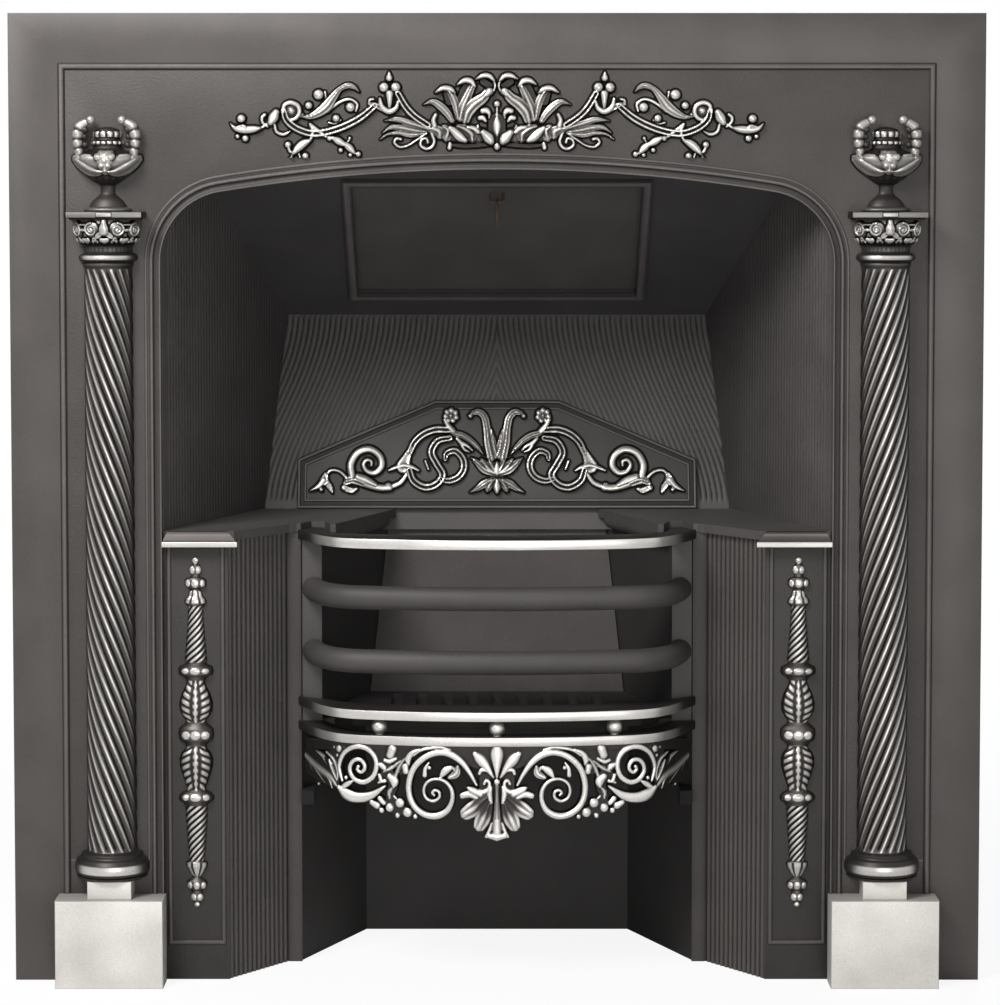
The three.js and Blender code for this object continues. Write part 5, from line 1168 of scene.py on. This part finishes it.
def pilaster(side):
    """The sunk panel beside the fire, with its bead frame and plain foot."""
    def place(rings):
        return flat_back(rings, PILASTER_FACE)

    casting = Casting()
    low, high = sorted((side * PILASTER_INNER, side * PILASTER_OUTER))
    panel = [(low, 0), (high, 0), (high, PILASTER_TOP), (low, PILASTER_TOP)]
    slab(casting, panel, -9, 0, place, 0.6, 0.3, 0.15)
    bead_line = [(low + 5.6, 37.6), (high - 5.6, 37.6), (high - 5.6, 437), (low + 5.6, 437)]
    run(casting, bead_line, BEAD, place, True, BEAD_RUB)
    lap = [(side * 332, 0.6), (side * 345, 0.6), (side * 345, 442.4), (side * 332, 442.4)]
    slab(casting, lap[::side], -8.9, -3.4, place, 0.4)
    return casting


def fluted_return(side):
    """The slanting jamb: thirteen reeds and a flat strip at the fire."""
    count, depth, thickness = 13, 2.5, 6
    start, end = np.array([267.7, 5.5]), np.array([214.0, 76.0])
    way = end - start
    out = np.array([way[1], -way[0]]) / np.linalg.norm(way)
    if out[1] > 0:
        out = -out
    t = np.linspace(0, 1, count * 12 + 1)
    rib = np.abs(np.sin(pi * count * t))
    reeds = start + np.outer(t, way) + np.outer(depth * (rib ** 0.6 - 1), out)
    strip = np.array([(212.6, 76.0), (208, 76.0), (204, 76.0), (200, 76.0)])
    face = np.vstack([reeds, strip])
    back = np.vstack([start + np.outer(t, way) - out * thickness, strip + (0, thickness)])
    rub = np.concatenate([0.08 + 0.36 * smooth_rise(rib, 0.2, 0.9), [0.26, 0.28, 0.28, 0.2]])
    heights = np.array([0.0, 1.0, 150, 300, 442, RETURN_TOP])

    def sheet(line):
        return np.stack([np.column_stack([side * line[:, 0], line[:, 1], np.full(len(line), z)])
                         for z in heights])

    casting = Casting()
    casting.skin(sheet(face), sheet(back), np.broadcast_to(rub, (len(heights), len(rub))))
    lip = [(200.4, 81.6), (206, 81.6), (206, 88), (198.8, 88), (198.8, 84.8), (200.4, 84.4)]
    slab(casting, [(side * x, y) for x, y in lip][::side], 249, 436, plan, 0.2, 0.1, 0.1)
    return casting


# ------------------------------------------------------------------ hobs

def nosing(side):
    """The hob's polished front moulding: a cove over a bright lower band, its ends cut on the slant."""
    profile = [(-9.0, 437.0), (-9.0, 441.2), (-8.6, 442.0), (-7.8, 442.4), (-7.0, 443.4), (-5.6, 446.0),
               (-4.4, 449.4), (-4.2, 450.8), (-3.4, 451.8), (-2.4, 452.0), (3.0, 452.0), (3.0, 437.0)]
    rub = [0.56, 0.64, 0.6, 0.3, 0.26, 0.34, 0.4, 0.2, 0.16, 0.2, 0.2, 0.2]
    ends = ((332.7, 0, 0.5), (331.9, 0, 0.5), (263.9, -5, -0.7), (263.0, -5, -0.7))
    rings = np.array([[(side * (x + slant * (3 - y) / 12 - lean * max(0, z - 441.8)), y, z)
                       for y, z in profile] for x, slant, lean in ends])
    casting = Casting()
    casting.tube(rings, rub)
    return casting


def cheek_x(y):
    """How far a cheek's face stands from the middle, so far back from the plate's face."""
    return OPENING_HALF - CHEEK_SLOPE * (y - CHEEK_CORNER)


def fireback_y(z):
    """How far back the fireback's face is at a height."""
    return FIREBACK_Y + (z - HOB_TOP) * FIREBACK_LEAN


def canopy_z(y):
    """The height of the canopy's visible face, so far back."""
    return CANOPY_FOOT_Z + CANOPY_SLOPE * (CANOPY_FOOT_Y - y)


def reed(phase):
    """How high a row of reeds stands, from 0 in a groove to 1 on a crest."""
    return np.abs(np.sin(pi * phase)) ** 0.5


def upper_cheek(side):
    """The side of the recess over the hob, with fine upright reeds."""
    front_edge, clear, pitch, deep = 6.3, 0.42, 6.1, 1.3
    s = np.linspace(0, 1, 330)[None, :]
    t = np.linspace(0, 1, 56)[:, None]
    z = HOB_TOP + t * 180 + 0 * s
    for _ in range(6):  # each edge depends on the other, and six rounds settle them
        y = front_edge + s * (fireback_y(z) - clear - front_edge)
        z = HOB_TOP + t * (canopy_z(y) - clear - HOB_TOP)
    rib = reed(y / pitch)
    smooth = smooth_rise(y, 12, 14)
    face = cheek_x(y) + deep * (1 - rib) * smooth
    front = np.stack([side * face, y, z], -1)
    back = np.stack([side * (cheek_x(y) + CHEEK_LAP), y, z], -1)
    casting = Casting()
    # The reeds are rubbed on their crests, and the cheek is made darker towards the fireback: painted shade
    # in the recess.
    casting.skin(front, back, (0.28 + 0.24 * smooth_rise(rib, 0.2, 0.8)) * (1 - 0.5 * s))
    return casting


def fireback():
    """The leaning back: reeds that run straight down, sweep outwards and straighten again over the hobs."""
    pitch, deep, sweep_out = 5.85, 1.6, 62
    z = np.concatenate([[FIREBACK_FOOT, 440, 449, HOB_TOP], np.linspace(HOB_TOP + 1, FIREBACK_TOP, 68)])
    z = z[:, None]
    half = cheek_x(fireback_y(z)) + CHEEK_LAP
    across = np.linspace(-1, 1, 681)[None, :]
    x = across * half
    sweep = sweep_out * smooth_rise(FIREBACK_TOP - z, 0, 205)
    rib = reed((np.abs(x) - sweep) / pitch)
    reeded = smooth_rise(z, HOB_TOP + 7, HOB_TOP + 9) * (1 - smooth_rise(z, FIREBACK_TOP - 3, FIREBACK_TOP))
    y = fireback_y(z) + deep * (1 - rib) * reeded
    front = np.stack([x, y, z + 0 * x], -1)
    lip = np.where(z > FIREBACK_TOP - 0.1, 7.5, 0)  # the back edge stands up behind the canopy's foot
    back = np.stack([x, fireback_y(z) + 7 + 0 * x, z + lip + 0 * x], -1)
    casting = Casting()
    casting.skin(front, back, np.where(reeded > 0.1, 0.1 + 0.3 * smooth_rise(rib, 0.25, 0.9), 0.38))
    return casting


def on_fireback(rings):
    """x, height and rise off the fireback, as x, y and z."""
    return np.stack([rings[..., 0], fireback_y(rings[..., 1]) - rings[..., 2], rings[..., 1]], -1)


def crest_panel():
    """The shield over the fire: a low gable with two beads round its edge, on a small ledge."""
    casting = Casting()
    outline = both([(CREST_TOP_HALF, CREST_FOOT + CREST_HEIGHT), (CREST_HALF, CREST_FOOT + CREST_SHOULDER),
                    (CREST_HALF, CREST_FOOT)])[::-1]
    slab(casting, outline, 0.4, CREST_THICKNESS - 1, on_fireback, 0.8, 0.3, 0.3)
    for inset, tall, wide in ((1.8, 2.6, 1.9), (5.2, 0.2, 1.8), (8.6, 1.6, 1.5)):
        bead = [(inset - wide, -0.2), (inset - wide, 0.1), (inset - 0.5 * wide, tall * 0.85), (inset, tall),
                (inset + 0.5 * wide, tall * 0.85), (inset + wide, 0.1), (inset + wide, -0.2)]
        crown = 0.62 if tall > 1 else 0.0
        run(casting, outline, [(o, up + CREST_THICKNESS - 1) for o, up in bead], on_fireback, True,
            [0, 0, 0.8 * crown, crown, 0.8 * crown, 0, 0])
    return casting


def on_canopy(rings):
    """Across, up the slope and out of the canopy's visible face, as x, y and z."""
    length = hypot(1, CANOPY_SLOPE)
    along, out = rings[..., 1], rings[..., 2]
    return np.stack([rings[..., 0], CANOPY_FOOT_Y - along / length - out * CANOPY_SLOPE / length,
                     CANOPY_FOOT_Z + along * CANOPY_SLOPE / length - out / length], -1)


def damper_bead():
    """The rounded bead round the smoke throat."""
    middle = 154.2
    line = [(-middle, 34.8), (middle, 34.8), (middle, 237.2), (-middle, 237.2)]
    profile = [(-5.4, -LET_IN), (-5.3, 0.8), (-4.3, 2.9), (-2.4, 4.3), (0, 4.9), (2.4, 4.3), (4.3, 2.9),
               (5.0, 0.8), (5.1, -LET_IN)]
    casting = Casting()
    run(casting, line, profile, on_canopy, True, [0, 0.1, 0.42, 0.62, 0.62, 0.56, 0.34, 0.1, 0])
    return casting


# ------------------------------------------------------------------ fire front

def rail_outline():
    """The front and back edges of the rails, in plan."""
    front = eased(both(RAIL_FRONT), 5)
    back = eased(RAIL_BACK + [(-x, y) for x, y in reversed(RAIL_BACK) if x > 0], 8)
    return front, back


def bow(distance):
    """The rails' front line at a distance along it from the middle: x, y and the way out from it."""
    line = eased(both(RAIL_FRONT), 2)
    step = np.hypot(*np.diff(line, axis=0).T)
    along = np.concatenate([[0], np.cumsum(step)])
    along -= along[-1] / 2
    out = -corners(line, False)
    out /= np.linalg.norm(out, axis=1)[:, None]
    return [np.interp(distance, along, column) for column in (*line.T, *out.T)]


def wrapped(rings):
    """Distance along the rails' bow, height and rise off the apron's ground, as x, y and z."""
    x, y, out_x, out_y = bow(rings[..., 0])
    rise = rings[..., 2] - APRON_SET_BACK
    return np.stack([x + out_x * rise, y + out_y * rise, rings[..., 1]], -1)


def rail(top, thick, cut):
    """A flat rail with its front edge ground bright. One that is cut at the end plates has no hooks."""
    front, back = rail_outline()
    front, back = front[front[:, 1] < cut], back[back[:, 1] < cut]
    hook = RAIL_HOOK if cut > END_PLATE_FRONT else []
    outline = [*front, *hook, *back, *[(-x, y) for x, y in reversed(hook)]]
    bright = np.array([0.82] * len(front) + [0.3] * (len(outline) - len(front)))
    # The bright edge is made darker as it bends back towards the end plates: painted shade.
    bright = bright * (1 - 0.75 * smooth_rise(np.array([p[1] for p in outline]), -6, 64))
    casting = Casting()
    slab(casting, outline, top - thick, top, plan, 1.1, bright, 0.24)
    return casting


def bar(height):
    """A round bar that follows the rails' bow."""
    line = eased([(-x, y) for x, y in reversed(BAR_LINE)] + BAR_LINE[1:], 6)
    casting = Casting()
    wire(casting, np.column_stack([line, np.full(len(line), height)]), BAR_RADIUS, 28, 0.32)
    return casting


def spacer(x, y):
    """A ball between two small collars, which fills the gap between the apron's band and the lower rail."""
    low, high, radius = BAND_TOP - 0.4, 266, 7.9
    collar = [(3.2, 0), (4.2, 0.3), (4.2, 0.8), (3.4, 1.1)]
    profile = [(r, low + up) for r, up in collar]
    profile += [(radius * cos(a), (low + high) / 2 + radius * sin(a)) for a in np.linspace(-1.1, 1.1, 13)]
    profile += [(r, high - up) for r, up in reversed(collar)]
    turn = np.linspace(0, 2 * pi, 24, endpoint=False)
    rings = np.array([np.stack([x + r * np.cos(turn), y + r * np.sin(turn), z + 0 * turn], -1)
                      for r, z in profile])
    casting = Casting()
    casting.tube(rings, 0.85)
    return casting


def apron():
    """The pierced apron: carving bent round the rails' bow, and the plain band over it."""
    carving = Carving(232, -50, 46, 0.8)
    for stroke in APRON_GROUND + APRON_STROKES:
        carving.stroke(*stroke)
    casting = Casting()
    carving.carve(casting, lambda r: wrapped(r + (0, APRON_MIDDLE, 0)), 2.0, blacking_and_shade_skirt=0.3)
    front = rail_outline()[0]
    front = front[front[:, 1] < BAND_END]
    inner = front * (1 - BAND_WIDTH / 240, 1) + (0, BAND_WIDTH)
    inner = inner[inner[:, 1] < BAND_END]
    # The band's bright edge is made darker as it bends back towards the end plates: painted shade.
    bright = np.concatenate([0.66 - 0.46 * smooth_rise(front[:, 1], -6, 64), np.full(len(inner), 0.2)])
    slab(casting, [*front, *inner[::-1]], BAND_LOW, BAND_TOP, plan, 1.0, bright, 0.24)
    return casting


# ------------------------------------------------------------------ putting it together

def build():
    front_plate()
    frieze = Carving(268, -40, 46, 0.75)
    for stroke in FRIEZE_STROKES:
        frieze.stroke(*stroke)
    casting = Casting()
    frieze.carve(casting, lambda r: upright(r + (0, FRIEZE_MIDDLE, 0)), 0.6)
    cast("frieze_carving", casting, burnished_iron, "burnished_iron", "frieze_ornament")
    crest = Carving(206, -46, 62, 0.75)
    for stroke in CREST_STROKES:
        crest.stroke(*stroke)
    casting = Casting()

    def on_crest(r):
        z = r[..., 1] + CREST_MIDDLE
        return np.stack([r[..., 0], fireback_y(z) - CREST_THICKNESS - 0.6 - r[..., 2], z], -1)

    crest.carve(casting, on_crest, 0.4)
    cast("crest_carving", casting, burnished_iron, "burnished_iron", "crest_ornament")
    for name, side in SIDES.items():
        cast(f"{name}_twisted_column", column(side), twisted_iron, "burnished_iron", f"{name}_column")
        cast(f"{name}_plinth", plinth(side), ground_iron, "bright_iron", f"{name}_plinth_block")
        cast(f"{name}_leaf_capital", capital(side), burnished_iron, "burnished_iron", f"{name}_capital")
        cast(f"{name}_handled_urn", urn(side), burnished_iron, "burnished_iron", f"{name}_urn")
        cast(f"{name}_pilaster_casting", pilaster(side), leaded_iron, "black_iron", f"{name}_pilaster_panel")
        cast(f"{name}_baluster_carving", baluster(side), burnished_iron, "burnished_iron", f"{name}_baluster")
        cast(f"{name}_reeded_return", fluted_return(side), leaded_iron, "black_iron", f"{name}_fluted_return")
        cast(f"{name}_polished_nosing", nosing(side), bright_iron, "bright_iron", f"{name}_hob_nosing")
        dress(f"{name}_hob_plate", hearth_plate, 1.0)
        cast(f"{name}_reeded_cheek", upper_cheek(side), fire_iron, "fire_iron", f"{name}_upper_cheek")
        for node in ("side_plate", "ash_cheek"):
            dress(f"{name}_{node}", sooted_plate, 0.6)
        # The front lugs are nearly black: painted shade.
        dress(f"{name}_front_lug", painted_shade_black, 0.6)
        dress(f"{name}_end_plate", hearth_plate, 0.6)
        for node in ("low_wall_lug", "high_wall_lug", "low_nut", "middle_nut", "high_nut"):
            dress(f"{name}_{node}", hearth_plate, 0.3)
    cast("curved_reed_fireback", fireback(), fire_iron, "black_iron", "reeded_fireback")
    cast("crest_shield", crest_panel(), fire_iron, "black_iron", "crest_panel")
    cast("damper_bead", damper_bead(), fire_iron, "fire_iron")
    # The canopy takes the darker plate colour: painted shade.
    dress("canopy_plate", painted_shade_plate, 0.5)
    dress("damper_flap", hearth_plate, 0.5)
    for node in ("ash_back", "bottom_grate"):
        dress(node, sooted_plate, 0.5)
    dress("back_brick", fire_brick, 1.5)
    for node in ("damper_pin", "damper_staple", "damper_ring"):
        dress(node, rusted_wire)
    for name, top, thick, cut in RAILS:
        cast(f"polished_{name}_rail", rail(top, thick, cut), bright_iron, "bright_iron", f"{name}_rail",
             body="fire_front")
    for name, height in BARS:
        cast(f"{name}_round_bar", bar(height), fire_iron, "fire_iron", f"{name}_bar", body="fire_front")
    for name, x, y in BALLS:
        cast(f"{name}_ball", spacer(x, y), bright_iron, "bright_iron", f"{name}_ball_spacer",
             body="fire_front")
    cast("pierced_apron", apron(), silvered_iron, "burnished_iron", "apron", body="fire_front")


# Name, place, width and watts of each lamp: one high on the left, one low in front that reaches the recess,
# and one behind for the plates that the wall would hide.
LAMPS = (("key", (-0.9, -1.3, 1.9), 0.8, 46), ("low_front", (0.4, -3.2, 0.4), 2.0, 40),
         ("behind", (0.9, 2.8, 1.9), 1.2, 30))
CAMERA_AWAY = 3.0  # metres from the plate's face
CAMERA_HEIGHT = 0.768
CAMERA_DIP = 3.19  # degrees that it looks down


def stage():
    """A pale floor and background, three soft lamps and the camera."""
    floor_mesh = bpy.data.meshes.new("floor")
    floor_mesh.from_pydata([(-6, -5, 0), (6, -5, 0), (6, 7, 0), (-6, 7, 0)], [], [(0, 1, 2, 3)])
    floor = bpy.data.objects.new("floor", floor_mesh)
    bpy.context.collection.objects.link(floor)
    material = bpy.data.materials.new("white_studio_floor")
    material.use_nodes = True
    tree = material.node_tree
    tree.nodes.clear()
    path = add(tree, "LightPath")
    place = add(tree, "TexCoord").outputs["Object"]
    away = add(tree, "VectorMath", {"operation": "LENGTH"}, _0=place).outputs["Value"]
    seen = add(tree, "MapRange", None, Value=away, From_Min=0.7, From_Max=1.8, To_Min=0.9, To_Max=1.0)
    share = add(tree, "Math", {"operation": "MULTIPLY"}, _0=seen.outputs[0],
                _1=path.outputs["Is Camera Ray"])
    matt = add(tree, "BsdfPrincipled", None, Base_Color=srgb("f2f2f2"), Roughness=0.7)
    white = add(tree, "Emission", None, Color=srgb("ffffff"), Strength=1.0)
    mixed = add(tree, "MixShader", None, _0=share.outputs[0], _1=matt.outputs[0], _2=white.outputs[0])
    add(tree, "OutputMaterial", None, Surface=mixed.outputs[0])
    floor_mesh.materials.append(material)

    world = bpy.data.worlds.new("white_studio")
    world.use_nodes = True
    tree = world.node_tree
    tree.nodes.clear()
    path = add(tree, "LightPath")
    direct = add(tree, "Math", {"operation": "MAXIMUM"}, _0=path.outputs["Is Camera Ray"],
                 _1=path.outputs["Is Glossy Ray"])
    direct = add(tree, "Math", {"operation": "MAXIMUM"}, _0=direct.outputs[0],
                 _1=path.outputs["Is Transmission Ray"])
    soft = add(tree, "Background", None, Color=srgb("f4f4f4"), Strength=0.3)
    white = add(tree, "Background", None, Color=srgb("ffffff"), Strength=1.0)
    mixed = add(tree, "MixShader", None, _0=direct.outputs[0], _1=soft.outputs[0], _2=white.outputs[0])
    add(tree, "OutputWorld", None, Surface=mixed.outputs[0])
    bpy.context.scene.world = world

    for name, spot, size, power in LAMPS:
        light = bpy.data.lights.new(name, "AREA")
        light.shape, light.size, light.energy = "DISK", size, power
        lamp = bpy.data.objects.new(name, light)
        bpy.context.collection.objects.link(lamp)
        lamp.location = spot
        lamp.rotation_euler = (Vector((0.0, 0.0, 0.5)) - Vector(spot)).to_track_quat("-Z", "Y").to_euler()

    lens = bpy.data.cameras.new("camera")
    lens.lens = 108.5
    lens.shift_x = 0.003
    lens.shift_y = -0.12
    camera = bpy.data.objects.new("camera", lens)
    bpy.context.collection.objects.link(camera)
    camera.location = (0, PLATE_FACE - CAMERA_AWAY, CAMERA_HEIGHT)
    camera.rotation_euler = (radians(90 - CAMERA_DIP), 0, 0)
    bpy.context.scene.camera = camera
    bpy.context.scene.view_settings.view_transform = "Standard"


build()
stage()
